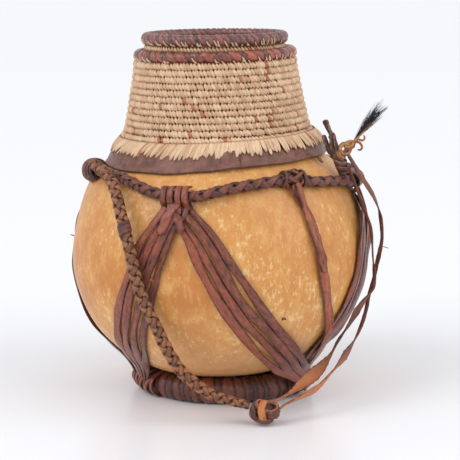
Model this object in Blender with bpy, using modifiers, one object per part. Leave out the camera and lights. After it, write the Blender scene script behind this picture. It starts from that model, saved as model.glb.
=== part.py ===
"""A gourd vessel: a hollow gourd with a coiled basket neck, a basket lid, a foot ring and a carrying strap.

Run it with blender --background --python part.py, or from Blender's text editor. Sizes are in millimetres
and become metres as each mesh is made. X runs to the right of the front, Y to the back and Z up, and the
vessel stands on Z = 0 with its foot ring round the Z axis. The gourd, its neck and its lid lean a little to
the left together, so they are made upright in a frame of their own, which an empty then leans.
"""

import math

import bmesh
import bpy
from mathutils import Matrix, Vector

MM = 0.001
SLIVER = 0.00001  # in metres: faces thinner than this are left out of a union
GAP = 0.3  # between pieces that touch
LEAN_DEG = 1.5  # the top leans towards -X
LEAN_PIVOT = (-1.6, 0.0, 115.0)

# (radius, height) of the gourd's skin, from its base to the cut mouth
GOURD_SKIN = (
    (0.0, 14.5), (32.0, 15.6), (57.0, 21.0), (79.5, 31.0), (97.5, 44.5), (112.5, 62.0), (123.0, 84.0),
    (129.0, 110.0), (127.5, 138.0), (121.0, 164.0), (112.3, 185.0), (104.2, 194.5), (94.4, 202.4),
    (85.0, 210.4),
)
GOURD_WALL = 5.0
WALL_ACROSS = 4.5  # how far the inside lies in from the skin, level
WALL_UP = 3.5  # and how far it lies above it at the base
GOURD_SIDES = 36
PROFILE_STEPS = 8  # between two points of a smoothed profile or route

# (radius, height) of the basket neck's outside, from its rim to its flared base
NECK_OUTSIDE = (
    (68.4, 290.3), (69.6, 279.0), (72.0, 265.0), (75.8, 245.0), (79.2, 231.0), (86.4, 217.0), (88.6, 213.6),
)
NECK_WALL = 5.5
NECK_INSIDE_HEIGHTS = (218.6, 224.0, 231.0, 250.0, 270.0, 290.3)
NECK_ROWS = 14
ROW_RELIEF = 0.7  # a coil stands this far out of the mean surface, and its valley as far in
NECK_SIDES = 32
SKIRT_FOOT = 205.0  # height on the skin where the long stitches at the neck's base end
SKIRT_SHOULDER = 208.1
SKIRT_HEAD = 209.6
SKIRT_LIFT = 2.7  # above the skin, over the collar
SKIRT_THICK = 1.6
SEAT_STEP = (1.5, 0.5)  # in and up, from the skirt's head to the seat on the gourd's mouth

COLLAR_HEIGHTS = (200.4, 203.4, 206.4, 209.4)  # on the skin, up the leather collar
COLLAR_LIFT = 0.4
COLLAR_THICK = 1.8

NECK_BINDING = (65.3, 294.6, 4.3, 3.9)  # ring radius, height, half width, half height
LID_BINDING = (58.4, 306.0, 4.2, 4.0)
RIM_SECTION_POINTS = 8
# (radius, height) of the lid's dish, out from its middle, and of its underside
LID_DISH = ((0.0, 293.0), (50.4, 293.6), (54.4, 296.0), (55.0, 301.6))
LID_UNDERSIDE = ((58.2, 287.0), (0.0, 287.0))
LID_OUTER = 60.2
LID_TOP = 301.6
LID_BASE = 287.0
LID_ROWS = 3
LID_SKEW_DEG = 0.7  # the lid sits a little higher on the left

FOOT_RADIUS = 64.5
FOOT_HALF_WIDTH = 10.5
FOOT_HALF_HEIGHT = 11.0
FOOT_FLAT = 3.5  # half width of the worn flat under the ring
FOOT_SECTION_DEG = range(240, -61, -30)  # from one edge of the flat, over the ring, to the other

CORD_RADIUS = 4.8
CORD_LIFT = 5.2  # centre of the shoulder cord above the skin
CORD_POINTS = 78
LUMP_WAIST = 0.86  # of the radius, between the lumps of plaited cords
# (azimuth, height on the skin) of the shoulder cord, round from the knot on the left; azimuth 0 is the front
CORD_ROUTE = (
    (-78, 194), (-60, 195.5), (-42, 192.5), (-28, 186.8), (-17, 184), (-7, 184.5), (3, 188), (17, 190.5),
    (34, 191.8), (44, 188), (58, 185.8), (70, 182), (84, 181.5), (105, 185), (140, 189), (180, 190),
    (215, 187), (234, 182.5), (244, 181.5), (256, 184), (269, 190.5),
)

STRIP_WIDTH = 6.8
STRIP_THICK = 1.6
STRIPS = 4
STRIP_LIFT = 0.5  # innermost strip above the skin, and how much further out each next one lies
STRIP_STEP = 0.33
LEG_POINTS = 13
SINGLE_POINTS = 20
HEAD_SPACING = 6.2  # between the strips where they loop over the cord
LOOP_STEP = 0.12  # how much further out each next loop lies
# where taut straps run once they leave the skin for the foot ring
STRAP_DRAPE = GOURD_SKIN[:4:-1] + ((98.0, 44.5), (86.5, 33.0), (79.6, 23.0), (76.6, 14.0), (75.6, 4.0))
# (height above the fan's head, lift off the skin) along a strip that loops over the shoulder cord
HEAD_LOOP = (
    (-18, 0.4), (-11, 0.8), (-6.5, 4), (-4.5, 8.6), (-2, 10.5), (0, 10.8), (2, 10.5), (4.3, 8.6), (6, 4),
    (7.6, 1),
)
# each leg: its (azimuth, height on the skin) points, and its (share of length, extra lift) over others
UNLIFTED = ((0, 0), (1, 0))
FRONT_LEFT_LEG = (
    (
        (-16, 172), (-20, 162), (-25.7, 138), (-30.8, 111), (-36.8, 83), (-44.6, 54), (-53, 36), (-60, 22),
        (-63, 4),
    ),
    UNLIFTED,
)
FRONT_RIGHT_LEG = (
    (
        (-14, 172), (-7, 154), (0.2, 125), (5.6, 104), (11.7, 84), (21, 62), (35, 41), (49, 26), (60, 14),
        (63.5, 6),
    ),
    ((0, 0), (0.56, 0), (0.74, 5.8), (1, 5.8)),
)
RIGHT_NEAR_LEG = (
    (
        (77, 170), (76, 160), (71.5, 140), (67.8, 117), (65.2, 102), (63, 89), (61, 79), (57.5, 66),
        (54.5, 53), (55, 40), (58, 26), (60, 14), (60.5, 5),
    ),
    UNLIFTED,
)
RIGHT_FAR_LEG = (
    (
        (80, 170), (86, 154), (94, 134), (102, 114), (110, 95), (120, 76), (134, 56), (150, 38), (162, 22),
        (168.5, 5),
    ),
    UNLIFTED,
)
LEFT_NEAR_LEG = (
    (
        (-114, 170), (-109, 150), (-104, 130), (-99.5, 110), (-95, 90), (-90, 68), (-86, 50), (-82, 34),
        (-80, 18), (-79.5, 5),
    ),
    UNLIFTED,
)
LEFT_FAR_LEG = (
    (
        (-117, 170), (-119, 154), (-121, 134), (-124, 114), (-129, 95), (-136, 76), (-146, 56), (-157, 38),
        (-166, 22), (-171, 5),
    ),
    UNLIFTED,
)
# each fan: its name, the azimuth and height of its head on the cord, and its two legs
FANS = (
    ("front_straps", -16.5, 184.0, FRONT_LEFT_LEG, FRONT_RIGHT_LEG),
    ("right_straps", 77.0, 181.8, RIGHT_NEAR_LEG, RIGHT_FAR_LEG),
    ("left_straps", -116.0, 181.5, LEFT_NEAR_LEG, LEFT_FAR_LEG),
)
# (share of a leg's length, distance between its strips' centres)
LEG_SPREAD = ((0.0, 3.6), (0.25, 7.4), (0.5, 8.6), (0.68, 8.0), (0.85, 5.0), (1.0, 3.8))
# the strap that hangs alone from the front knot, over the near leg of the right fan
SINGLE_ROUTE = (
    (34.5, 183.6), (36, 172), (37.4, 158), (38.4, 140), (40.3, 118), (43.5, 94), (46.7, 72), (50, 55),
    (54.5, 40), (59.5, 25), (61.5, 14), (62, 5),
)
SINGLE_LIFT = ((0, 0), (0.5, 0), (0.6, 3.2), (1, 3.2))
SINGLE_WIDTH = 6.6

# knots on the shoulder cord: azimuth, length along the cord, radius
LEFT_KNOT = (-80.0, 18.0, 9.8)
FRONT_KNOT = (33.4, 18.0, 9.8)
KNOT_SLACK = 1.4  # round the cord inside a knot, which its bend takes up
KNOT_RIDGES = 3
KNOT_ENDS = 0.74  # of the radius, at a knot's ends
KNOT_RELIEF = 0.06  # of the radius, from its mean to a ridge or a groove
KNOT_SIDES = 16
# (height on the skin, distance off it) up the shape that knots are cut clear of, and its heights on the neck
CLEAR_OF_SKIN = (
    (150, 0.4), (165, 0.4), (175, 0.4), (185, 0.4), (192, 0.4), (197, 0.4), (199.6, 2.55), (203, 2.55),
    (206, 2.55),
)
CLEAR_OF_NECK = (212.0, 225.0)
NECK_CLEARANCE = 4.0

# the carrying strap, in the vessel's standing frame
BRAID_RADIUS = 5.3
BRAID_POINTS = 44
BRAID_ROUTE = (
    (-108.5, -47, 204), (-105, -57, 203.5), (-100.3, -65, 201), (-95, -76, 198.5), (-89.5, -89, 193.5),
    (-84, -103, 181), (-79, -112, 162), (-74, -118, 143), (-68.5, -121.5, 118), (-61, -124.5, 98),
    (-53, -125, 82), (-46, -125, 66), (-34, -125, 46), (-20, -126, 33), (-6, -127, 24.5), (12, -127, 19),
    (22.6, -127, 16.5),
)
FLOOR_KNOT = (34.5, -127.0, 11.2)
FLOOR_KNOT_CORE = (10.4, 9.3, 10.7)  # half its size each way, under the bands
FLOOR_BAND = (9.0, 2.5)  # radius of a band of the knot, and of its strand
FLOOR_BAND_LEANS = ((70, 15), (78, 100), (25, 40))  # tilt and turn of each band's plane
# (x, y, z, width, twist in degrees) along each thong, from the floor knot up to the knot on the right
THONG_THICK = 1.8
THONG_POINTS = 30
OUTER_THONG = (
    (47.4, -125.5, 13.5, 4, 60), (52, -122, 16, 7, 40), (66, -114, 20.5, 9, 20), (79, -104, 25, 5, 0),
    (90, -94, 34, 9, 0),
    (100, -86, 44, 9, 0), (109.8, -76, 55.7, 6, 20), (117.1, -67, 68.2, 3, 60), (121.7, -60, 80.4, 4, 70),
    (124.8, -54, 93.2, 4, 60), (129, -49, 106, 4, 50), (131.5, -47, 117.7, 5, 50), (134.1, -46, 129.5, 5, 60),
    (135.6, -46, 141.6, 3, 70), (133.5, -46, 160.5, 4, 60), (128.2, -46, 175, 7, 20), (120.4, -46, 187.8, 8, 0),
    (113.5, -45.5, 198.8, 7, 0), (109.2, -45, 205.6, 5, 0),
)
INNER_THONG = (
    (45.6, -122, 19.4, 4, 60), (57.3, -116, 25.4, 8, 20), (70.8, -106, 32.8, 9, 0), (81.1, -97, 38.9, 5, 30),
    (89.8, -88, 47.6, 3, 60), (96.8, -81, 58.7, 6, 20), (105.5, -75, 70.1, 9, 0), (113.3, -70, 81.9, 8, 0),
    (120.9, -67, 92.4, 4, 50), (127, -64, 100.3, 4, 60), (128.3, -61, 110.9, 7, 20), (127, -59, 125.1, 6, 20),
    (126, -58, 140.3, 4, 50), (124.1, -58, 153.1, 5, 40), (119.3, -58, 165.9, 3, 60),
    (114.5, -58, 179.4, 4, 40), (108.6, -57, 194.5, 4, 40), (104.5, -53, 205, 4, 30),
)
# (x, y, z, radius) along the pieces of the knot on the right, and of the tail that leaves it
RISER_ROUTE = (
    (103.6, -45, 193.6, 3.4), (99.5, -45, 200, 4.2), (96, -44, 208, 4.8), (93, -44, 217, 5.2),
    (93, -44, 227, 5.4), (90, -44, 233, 3.2), (87, -44, 240, 1.2),
)
STUB_ROUTE = ((97, -44, 205, 3.0), (90.5, -44, 216, 3.2), (86, -43, 228, 2.8))
LOOP_CENTRE = (102.5, -44.5, 213.5)
LOOP_RADII = (6.2, 2.4)
LOOP_LEAN = (90, 8)
TAIL_ROUTE = (
    (110.2, -45, 220.6, 2.6), (113.5, -45, 225, 2.6), (118, -45, 231, 2.3), (123, -45, 237, 2.4),
    (131, -45, 243.5, 1.8), (138, -45, 249.5, 0.6),
)
TAIL_STEPS = 2

COLOURS = {
    "gourd_skin": ((0.69, 0.40, 0.15), 0.42),
    "palm_fibre": ((0.62, 0.45, 0.27), 0.85),
    "collar_leather": ((0.22, 0.12, 0.10), 0.6),
    "binding_leather": ((0.26, 0.07, 0.05), 0.35),
    "strap_leather": ((0.25, 0.09, 0.06), 0.6),
    "braid_leather": ((0.27, 0.13, 0.07), 0.75),
    "thong_hide": ((0.50, 0.22, 0.10), 0.7),
}


def clear_scene():
    for obj in list(bpy.data.objects):
        bpy.data.objects.remove(obj)


def collection(name):
    made = bpy.data.collections.new(name)
    bpy.context.scene.collection.children.link(made)
    return made


def material(slot):
    found = bpy.data.materials.get(slot)
    if found:
        return found
    colour, roughness = COLOURS[slot]
    made = bpy.data.materials.new(slot)
    made.use_nodes = True
    shader = made.node_tree.nodes["Principled BSDF"]
    shader.inputs["Base Color"].default_value = (*colour, 1.0)
    shader.inputs["Roughness"].default_value = roughness
    shader.inputs["Metallic"].default_value = 0.0
    return made


def smooth_through(points, steps):
    """Points on a Catmull-Rom curve through the given ones, with this many steps between two of them."""
    points = [Vector(point) for point in points]
    ends = [2 * points[0] - points[1]] + points + [2 * points[-1] - points[-2]]
    out = []
    for a, b, c, d in zip(ends, ends[1:], ends[2:], ends[3:]):
        for step in range(steps):
            t = step / steps
            bend = (2 * a - 5 * b + 4 * c - d) * t**2
            twist = (3 * b - a - 3 * c + d) * t**3
            out.append(0.5 * (2 * b + (c - a) * t + bend + twist))
    return out + [points[-1]]


def evenly(points, count):
    """The same polyline with this many points, at even distances."""
    lengths = [0.0]
    for a, b in zip(points, points[1:]):
        lengths.append(lengths[-1] + (b - a).length)
    out = []
    at = 0
    for index in range(count):
        target = lengths[-1] * index / (count - 1)
        while at < len(points) - 2 and lengths[at + 1] < target:
            at += 1
        share = (target - lengths[at]) / max(lengths[at + 1] - lengths[at], 1e-9)
        out.append(points[at].lerp(points[at + 1], share))
    return out


def read_at(table, x):
    """The value at x of a table of (x, value) pairs, in rising x."""
    for (x0, y0), (x1, y1) in zip(table, table[1:]):
        if x <= x1:
            return y0 + (y1 - y0) * max(x - x0, 0.0) / (x1 - x0)
    return table[-1][1]


def radius_table(profile):
    """(height, radius) pairs of a smoothed profile, in rising height."""
    points = smooth_through([(*pair, 0.0) for pair in profile], PROFILE_STEPS)
    return sorted((point.y, point.x) for point in points)


SKIN_TABLE = radius_table(GOURD_SKIN)
DRAPE_TABLE = radius_table(STRAP_DRAPE)


def offset_point(table, z, distance):
    """The (radius, height) of the point this far off the profile, along its normal at height z."""
    slope = read_at(table, z + 1.0) - read_at(table, z - 1.0)
    normal = Vector((2.0, -slope)).normalized()
    return read_at(table, z) + distance * normal.x, z + distance * normal.y


def around(azimuth, radius, z):
    """The point at this azimuth, counted from the front towards +X."""
    angle = math.radians(azimuth)
    return Vector((radius * math.sin(angle), -radius * math.cos(angle), z))


def on_skin(azimuth, z, lift, table=SKIN_TABLE):
    return around(azimuth, *offset_point(table, z, lift))


def vessel_frame():
    """The empty that leans the gourd, its neck and its lid."""
    empty = bpy.data.objects.new("vessel_lean", None)
    empty.location = Vector(LEAN_PIVOT) * MM
    empty.rotation_euler = (0.0, -math.radians(LEAN_DEG), 0.0)
    return empty


def place(obj, slot, parts, frame=None):
    """Gives an object its material and its place, upright or in the leaning frame."""
    obj.data.materials.clear()
    obj.data.materials.append(material(slot))
    if obj.name not in parts.objects:
        parts.objects.link(obj)
    if frame:
        obj.parent = frame
        obj.location = obj.location + Vector((0.0, 0.0, -LEAN_PIVOT[2] * MM))
    if obj.type == "MESH":
        obj.data.shade_smooth()
        obj.data.set_sharp_from_angle(angle=math.radians(50))
    return obj


def turned(name, profile, sides, closed=False):
    """A turned piece from (radius, height) points, which run up the inside and down the outside."""
    mesh = bpy.data.meshes.new(name)
    bm = bmesh.new()
    verts = [bm.verts.new((r * MM, 0.0, z * MM)) for r, z in profile]
    for a, b in zip(verts, verts[1:]):
        bm.edges.new((a, b))
    if closed:
        bm.edges.new((verts[-1], verts[0]))
    bm.to_mesh(mesh)
    bm.free()
    obj = bpy.data.objects.new(name, mesh)
    screw = obj.modifiers.new("turn", "SCREW")
    screw.axis = "Z"
    screw.steps = sides
    screw.render_steps = sides
    screw.use_merge_vertices = True
    screw.merge_threshold = 0.00001
    screw.use_smooth_shade = True
    return obj


def ring_section(radius, height, half_width, half_height, points):
    """An oval section for a turned ring, run down its outer side."""
    turns = [-2 * math.pi * k / points for k in range(points)]
    return [(radius + half_width * math.cos(t), height + half_height * math.sin(t)) for t in turns]


def ribbon(name, centres, sides, widths, thick):
    """A strip of leather: an open ribbon through the centres, thickened away from the piece it lies on."""
    mesh = bpy.data.meshes.new(name)
    bm = bmesh.new()
    rows = []
    for centre, side, width in zip(centres, sides, widths):
        half = side * (width / 2)
        rows.append([bm.verts.new((centre - half) * MM), bm.verts.new((centre + half) * MM)])
    for (a, b), (c, d) in zip(rows, rows[1:]):
        bm.faces.new((a, b, d, c))
    bm.to_mesh(mesh)
    bm.free()
    obj = bpy.data.objects.new(name, mesh)
    shell = obj.modifiers.new("leather", "SOLIDIFY")
    shell.thickness = thick * MM
    shell.offset = 1.0
    shell.use_even_offset = True
    return obj


def tube(name, centres, radii, sides_resolution=2, cyclic=False):
    """A round cord or tapered tube through the centres."""
    curve = bpy.data.curves.new(name, "CURVE")
    curve.dimensions = "3D"
    curve.bevel_depth = MM
    curve.bevel_resolution = sides_resolution
    curve.use_fill_caps = True
    spline = curve.splines.new("POLY")
    spline.points.add(len(centres) - 1)
    for point, centre, radius in zip(spline.points, centres, radii):
        point.co = (*(Vector(centre) * MM), 1.0)
        point.radius = radius
    spline.use_cyclic_u = cyclic
    return bpy.data.objects.new(name, curve)


def baked(obj):
    """The object again as a plain closed mesh, with its modifiers applied and its caps welded."""
    bpy.context.scene.collection.objects.link(obj)
    graph = bpy.context.evaluated_depsgraph_get()
    mesh = bpy.data.meshes.new_from_object(obj.evaluated_get(graph), depsgraph=graph)
    bm = bmesh.new()
    bm.from_mesh(mesh)
    bmesh.ops.remove_doubles(bm, verts=bm.verts, dist=0.000001)
    bmesh.ops.recalc_face_normals(bm, faces=bm.faces)
    bm.to_mesh(mesh)
    bm.free()
    made = bpy.data.objects.new(obj.name, mesh)
    made.matrix_world = obj.matrix_world
    bpy.data.objects.remove(obj)
    return made


def joined(name, pieces):
    """One object from overlapping closed pieces, by a Boolean union on a collection of them."""
    scrap = collection("pieces_of_" + name)
    first, *rest = [baked(piece) for piece in pieces]
    for piece in rest:
        scrap.objects.link(piece)
    bpy.context.scene.collection.objects.link(first)
    union = first.modifiers.new("union", "BOOLEAN")
    union.operation = "UNION"
    union.operand_type = "COLLECTION"
    union.collection = scrap
    union.solver = "EXACT"
    bpy.context.view_layer.update()
    graph = bpy.context.evaluated_depsgraph_get()
    mesh = bpy.data.meshes.new_from_object(first.evaluated_get(graph), depsgraph=graph)
    for piece in [first, *rest]:
        bpy.data.objects.remove(piece)
    bpy.data.collections.remove(scrap)
    fill_pockets(mesh)
    return bpy.data.objects.new(name, mesh)


def fill_pockets(mesh):
    """Keeps only the outer skin of a body, without slivers, so that pockets sealed between strips are filled."""
    bm = bmesh.new()
    bm.from_mesh(mesh)
    bmesh.ops.triangulate(bm, faces=bm.faces)
    bmesh.ops.remove_doubles(bm, verts=bm.verts, dist=SLIVER)
    bmesh.ops.dissolve_degenerate(bm, edges=bm.edges, dist=SLIVER)
    left = set(bm.faces)
    shells = []
    while left:
        reached = [left.pop()]
        for face in reached:
            plain = [edge for edge in face.edges if len(edge.link_faces) == 2]
            near = {other for edge in plain for other in edge.link_faces} & left
            left -= near
            reached += near
        shells.append(reached)
    shells.sort(key=lambda shell: sum(face.calc_area() for face in shell))
    for shell in shells[:-1]:
        bmesh.ops.delete(bm, geom=shell, context="FACES")
    bm.to_mesh(mesh)
    bm.free()


def make_gourd():
    """The hollow shell of the gourd, open at its cut mouth."""
    floor = [(r, z + GOURD_WALL) for r, z in GOURD_SKIN[:2]]
    side = GOURD_SKIN[2:]
    inside = [(r - WALL_ACROSS, z + WALL_UP * (1 - index / len(side))) for index, (r, z) in enumerate(side)]
    return turned("gourd", floor + inside + list(GOURD_SKIN[::-1]), GOURD_SIDES)


def neck_radius(z):
    return read_at(radius_table(NECK_OUTSIDE), z)


def make_neck_basket():
    """The coiled neck: a ridge for each coil, with the skirt of long stitches over the collar."""
    top = NECK_OUTSIDE[0][1]
    base = NECK_OUTSIDE[-1][1]
    pitch = (top - base) / NECK_ROWS
    outside = [(neck_radius(top) - ROW_RELIEF, top)]
    for row in range(NECK_ROWS):
        crest = top - (row + 0.5) * pitch
        valley = top - (row + 1) * pitch
        outside.append((neck_radius(crest) + ROW_RELIEF, crest))
        outside.append((neck_radius(valley) - ROW_RELIEF, valley))
    outer_lift = SKIRT_LIFT + SKIRT_THICK
    skirt_out = [offset_point(SKIN_TABLE, z, outer_lift) for z in (SKIRT_SHOULDER, SKIRT_FOOT)]
    skirt_in = [offset_point(SKIN_TABLE, z, SKIRT_LIFT) for z in (SKIRT_FOOT, SKIRT_HEAD)]
    head, seat = skirt_in[-1]
    seat += SEAT_STEP[1]
    under = [(head - SEAT_STEP[0], seat), (GOURD_SKIN[-1][0] - GOURD_WALL, seat)]
    inside = [(neck_radius(z) - NECK_WALL, z) for z in NECK_INSIDE_HEIGHTS]
    return turned("neck_basket", outside + skirt_out + skirt_in + under + inside, NECK_SIDES, closed=True)


def make_collar():
    """The leather band over the joint of gourd and basket."""
    inner = [offset_point(SKIN_TABLE, z, COLLAR_LIFT) for z in COLLAR_HEIGHTS]
    outer = [offset_point(SKIN_TABLE, z, COLLAR_LIFT + COLLAR_THICK) for z in COLLAR_HEIGHTS]
    return turned("collar", inner + outer[::-1], GOURD_SIDES, closed=True)


def make_foot_ring():
    """The leather-wrapped ring that the gourd is tied down on, worn flat underneath."""
    oval = []
    for degrees in FOOT_SECTION_DEG:
        turn = math.radians(degrees)
        oval.append((FOOT_RADIUS + FOOT_HALF_WIDTH * math.cos(turn), FOOT_HALF_HEIGHT * (1 + math.sin(turn))))
    flat = [(FOOT_RADIUS + FOOT_FLAT, 0.0), (FOOT_RADIUS - FOOT_FLAT, 0.0)]
    return turned("foot_ring", oval + flat, GOURD_SIDES, closed=True)


def make_lid_basket():
    """The lid: a shallow coiled dish that plugs the neck."""
    side = []
    pitch = (LID_TOP - LID_BASE) / LID_ROWS
    for row in range(LID_ROWS):
        side.append((LID_OUTER - ROW_RELIEF, LID_TOP - row * pitch))
        side.append((LID_OUTER, LID_TOP - (row + 0.5) * pitch))
    return turned("lid_basket", [*LID_DISH, *side, *LID_UNDERSIDE], GOURD_SIDES)


def cord_turn():
    """(azimuth, height on the skin) all the way round the shoulder cord, at closely spaced points."""
    turns = [(azimuth + turn, z, 0.0) for turn in (-360, 0, 360) for azimuth, z in CORD_ROUTE]
    start = CORD_ROUTE[0][0]
    return [(p.x, p.y) for p in smooth_through(turns, PROFILE_STEPS) if start <= p.x < start + 360]


def make_shoulder_cord():
    """The plaited cord round the shoulder, lumpy where its strands cross."""
    centres = [on_skin(azimuth, z, CORD_LIFT) for azimuth, z in cord_turn()]
    path = evenly(centres + centres[:1], CORD_POINTS + 1)[:-1]
    radii = [CORD_RADIUS * (1.0 if index % 2 else LUMP_WAIST) for index in range(len(path))]
    return tube("shoulder_cord", path, radii, cyclic=True)


def strip_on_drape(name, leg, across, lift, width, count):
    """A strip laid along a leg's route, moved sideways by the (share, distance) pairs of across."""
    route, extra = leg
    smooth = smooth_through([(*pair, 0) for pair in route], PROFILE_STEPS)
    path = evenly([on_skin(point.x, point.y, 0.0, DRAPE_TABLE) for point in smooth], count)
    centres, sides = [], []
    for index, point in enumerate(path):
        share = index / (count - 1)
        along = path[min(index + 1, count - 1)] - path[max(index - 1, 0)]
        azimuth = math.degrees(math.atan2(point.x, -point.y))
        normal = on_skin(azimuth, point.z, 1.0, DRAPE_TABLE) - on_skin(azimuth, point.z, 0.0, DRAPE_TABLE)
        side = along.cross(normal).normalized()
        moved = point + side * read_at(across, share)
        azimuth = math.degrees(math.atan2(moved.x, -moved.y))
        centres.append(on_skin(azimuth, moved.z, lift + read_at(extra, share), DRAPE_TABLE))
        sides.append(side)
    return ribbon(name, centres, sides, [width] * count, STRIP_THICK)


def make_fan(name, head_azimuth, head_z, *legs):
    """Four strips looped over the shoulder cord, their two halves spread down to the foot ring."""
    pieces = []
    side = around(head_azimuth + 90, 1.0, 0.0)
    for strip in range(STRIPS):
        across = strip - (STRIPS - 1) / 2
        loop = [on_skin(head_azimuth, head_z + rise, lift + strip * LOOP_STEP) for rise, lift in HEAD_LOOP]
        loop = [point + side * across * HEAD_SPACING for point in loop]
        pieces.append(ribbon("loop", loop, [side] * len(loop), [STRIP_WIDTH] * len(loop), STRIP_THICK))
        for number, leg in enumerate(legs):
            offsets = [(share, across * spread) for share, spread in LEG_SPREAD]
            lift = STRIP_LIFT + STRIP_STEP * ((strip + 2 * number) % STRIPS)
            pieces.append(strip_on_drape("leg", leg, offsets, lift, STRIP_WIDTH, LEG_POINTS))
    return joined(name, pieces)


def make_single_strap():
    """The strip that hangs alone from the front knot."""
    leg = (SINGLE_ROUTE, SINGLE_LIFT)
    return strip_on_drape("single_strap", leg, UNLIFTED, STRIP_LIFT, SINGLE_WIDTH, SINGLE_POINTS)


def cord_frame(azimuth):
    """A matrix on the shoulder cord's centre line, with its Z axis along the cord and Y off the skin."""
    turns = cord_turn()
    nearest = min(range(len(turns)), key=lambda index: abs((turns[index][0] - azimuth + 180) % 360 - 180))
    before, (turn, z), after = [turns[(nearest + step) % len(turns)] for step in (-1, 0, 1)]
    here = on_skin(turn, z, CORD_LIFT)
    along = (on_skin(*after, CORD_LIFT) - on_skin(*before, CORD_LIFT)).normalized()
    off = (here - on_skin(turn, z, 0.0)).normalized()
    across = off.cross(along).normalized()
    turned_to = Matrix((across, along.cross(across), along)).transposed()
    return Matrix.Translation(here * MM) @ turned_to.to_4x4()


def vessel_cutter():
    """A little more than the gourd, collar and neck, to cut knots clear of them."""
    outside = [offset_point(SKIN_TABLE, z, clear) for z, clear in CLEAR_OF_SKIN]
    outside += [(neck_radius(z) + NECK_CLEARANCE, z) for z in CLEAR_OF_NECK]
    base, top = CLEAR_OF_SKIN[0][0], CLEAR_OF_NECK[-1]
    cutter = turned("vessel_cutter", [(0.0, top), *outside[::-1], (0.0, base)], GOURD_SIDES)
    cutter.hide_render = True
    cutter.display_type = "WIRE"
    return cutter


def make_cord_knot(name, azimuth, length, radius, cutter):
    """A woven knot round the shoulder cord: a ridged barrel, flat against the gourd."""
    hole = CORD_RADIUS + KNOT_SLACK
    profile = [(hole, -length / 2), (hole, length / 2)]
    for step in range(2 * KNOT_RIDGES + 1):
        share = step / (2 * KNOT_RIDGES)
        bulge = KNOT_ENDS + (1 - KNOT_ENDS) * math.sin(math.pi * share)
        relief = 1 + KNOT_RELIEF * (-1 if step % 2 == 0 else 1)
        profile.append((radius * bulge * relief, length * (0.5 - share) * 0.96))
    knot = turned(name, profile, KNOT_SIDES, closed=True)
    knot.matrix_world = cord_frame(azimuth)
    cut = knot.modifiers.new("clear_of_vessel", "BOOLEAN")
    cut.operation = "DIFFERENCE"
    cut.object = cutter
    return knot


def make_braid():
    """The plaited part of the carrying strap."""
    path = evenly(smooth_through(BRAID_ROUTE, PROFILE_STEPS), BRAID_POINTS)
    radii = [BRAID_RADIUS * (1.0 if index % 2 else LUMP_WAIST) for index in range(len(path))]
    return tube("carry_braid", path, radii)


def lump(name, centre, size, segments=12, rings=8):
    """A round lump, half its size given each way."""
    mesh = bpy.data.meshes.new(name)
    bm = bmesh.new()
    bmesh.ops.create_uvsphere(bm, u_segments=segments, v_segments=rings, radius=1.0)
    bmesh.ops.scale(bm, vec=Vector(size) * MM, verts=bm.verts)
    bmesh.ops.translate(bm, vec=Vector(centre) * MM, verts=bm.verts)
    bm.to_mesh(mesh)
    bm.free()
    return bpy.data.objects.new(name, mesh)


def hoop(name, centre, radius, thick, tilt, turn, count=14):
    """A closed band of one strand, at any tilt."""
    lean = Matrix.Rotation(math.radians(turn), 3, "Z") @ Matrix.Rotation(math.radians(tilt), 3, "X")
    angles = [2 * math.pi * k / count for k in range(count)]
    path = [Vector(centre) + lean @ Vector((radius * math.cos(a), radius * math.sin(a), 0)) for a in angles]
    return tube(name, path, [thick] * count, sides_resolution=1, cyclic=True)


def make_floor_knot():
    """The knot that joins braid and thongs, and rests on the surface in front of the foot ring."""
    core = lump("core", FLOOR_KNOT, FLOOR_KNOT_CORE)
    bands = [hoop("band", FLOOR_KNOT, *FLOOR_BAND, tilt, turn) for tilt, turn in FLOOR_BAND_LEANS]
    return joined("floor_knot", [core, *bands])


def make_thong(name, route):
    """A flat hide thong of uneven width, twisted along its way."""
    points = evenly(smooth_through([point[:3] for point in route], PROFILE_STEPS), THONG_POINTS)
    settings = smooth_through([(point[3], point[4], 0) for point in route], PROFILE_STEPS)
    centres, sides, widths = [], [], []
    for index, point in enumerate(points):
        share = index / (len(points) - 1) * (len(settings) - 1)
        setting = settings[int(share)].lerp(settings[min(int(share) + 1, len(settings) - 1)], share % 1.0)
        along = (points[min(index + 1, len(points) - 1)] - points[max(index - 1, 0)]).normalized()
        outward = Vector((point.x, point.y, 0)).normalized()
        flat = outward.cross(along).normalized()
        side = Matrix.Rotation(math.radians(setting.y), 3, along) @ flat
        centres.append(point)
        sides.append(side)
        widths.append(setting.x)
    return ribbon(name, centres, sides, widths, THONG_THICK)


def make_right_knot():
    """The knot by the neck that ends the thongs, tied to the shoulder cord by its riser."""
    riser = tube("riser", [p[:3] for p in RISER_ROUTE], [p[3] for p in RISER_ROUTE])
    stub = tube("stub", [p[:3] for p in STUB_ROUTE], [p[3] for p in STUB_ROUTE])
    loop = hoop("loop", LOOP_CENTRE, *LOOP_RADII, *LOOP_LEAN)
    return joined("right_knot", [riser, stub, loop])


def make_tail():
    """The free end of the thong, with the core of its hair tuft."""
    path = smooth_through([p[:3] for p in TAIL_ROUTE], TAIL_STEPS)
    radii = [point.x for point in smooth_through([(p[3], 0, 0) for p in TAIL_ROUTE], TAIL_STEPS)]
    return tube("tail_and_tuft", path, radii)


def make_rim(name, binding):
    """A rim's coil, wrapped with leather."""
    return turned(name, ring_section(*binding, RIM_SECTION_POINTS), NECK_SIDES, closed=True)


def skew_lid(piece):
    """Tips a piece of the lid, in the leaning frame, about the middle of the neck's mouth."""
    skew = Matrix.Rotation(math.radians(LID_SKEW_DEG), 3, "Y")
    pivot = Vector((0.0, 0.0, LID_TOP * MM))
    piece.rotation_euler = skew.to_euler()
    piece.location = piece.location + pivot - skew @ pivot


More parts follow.
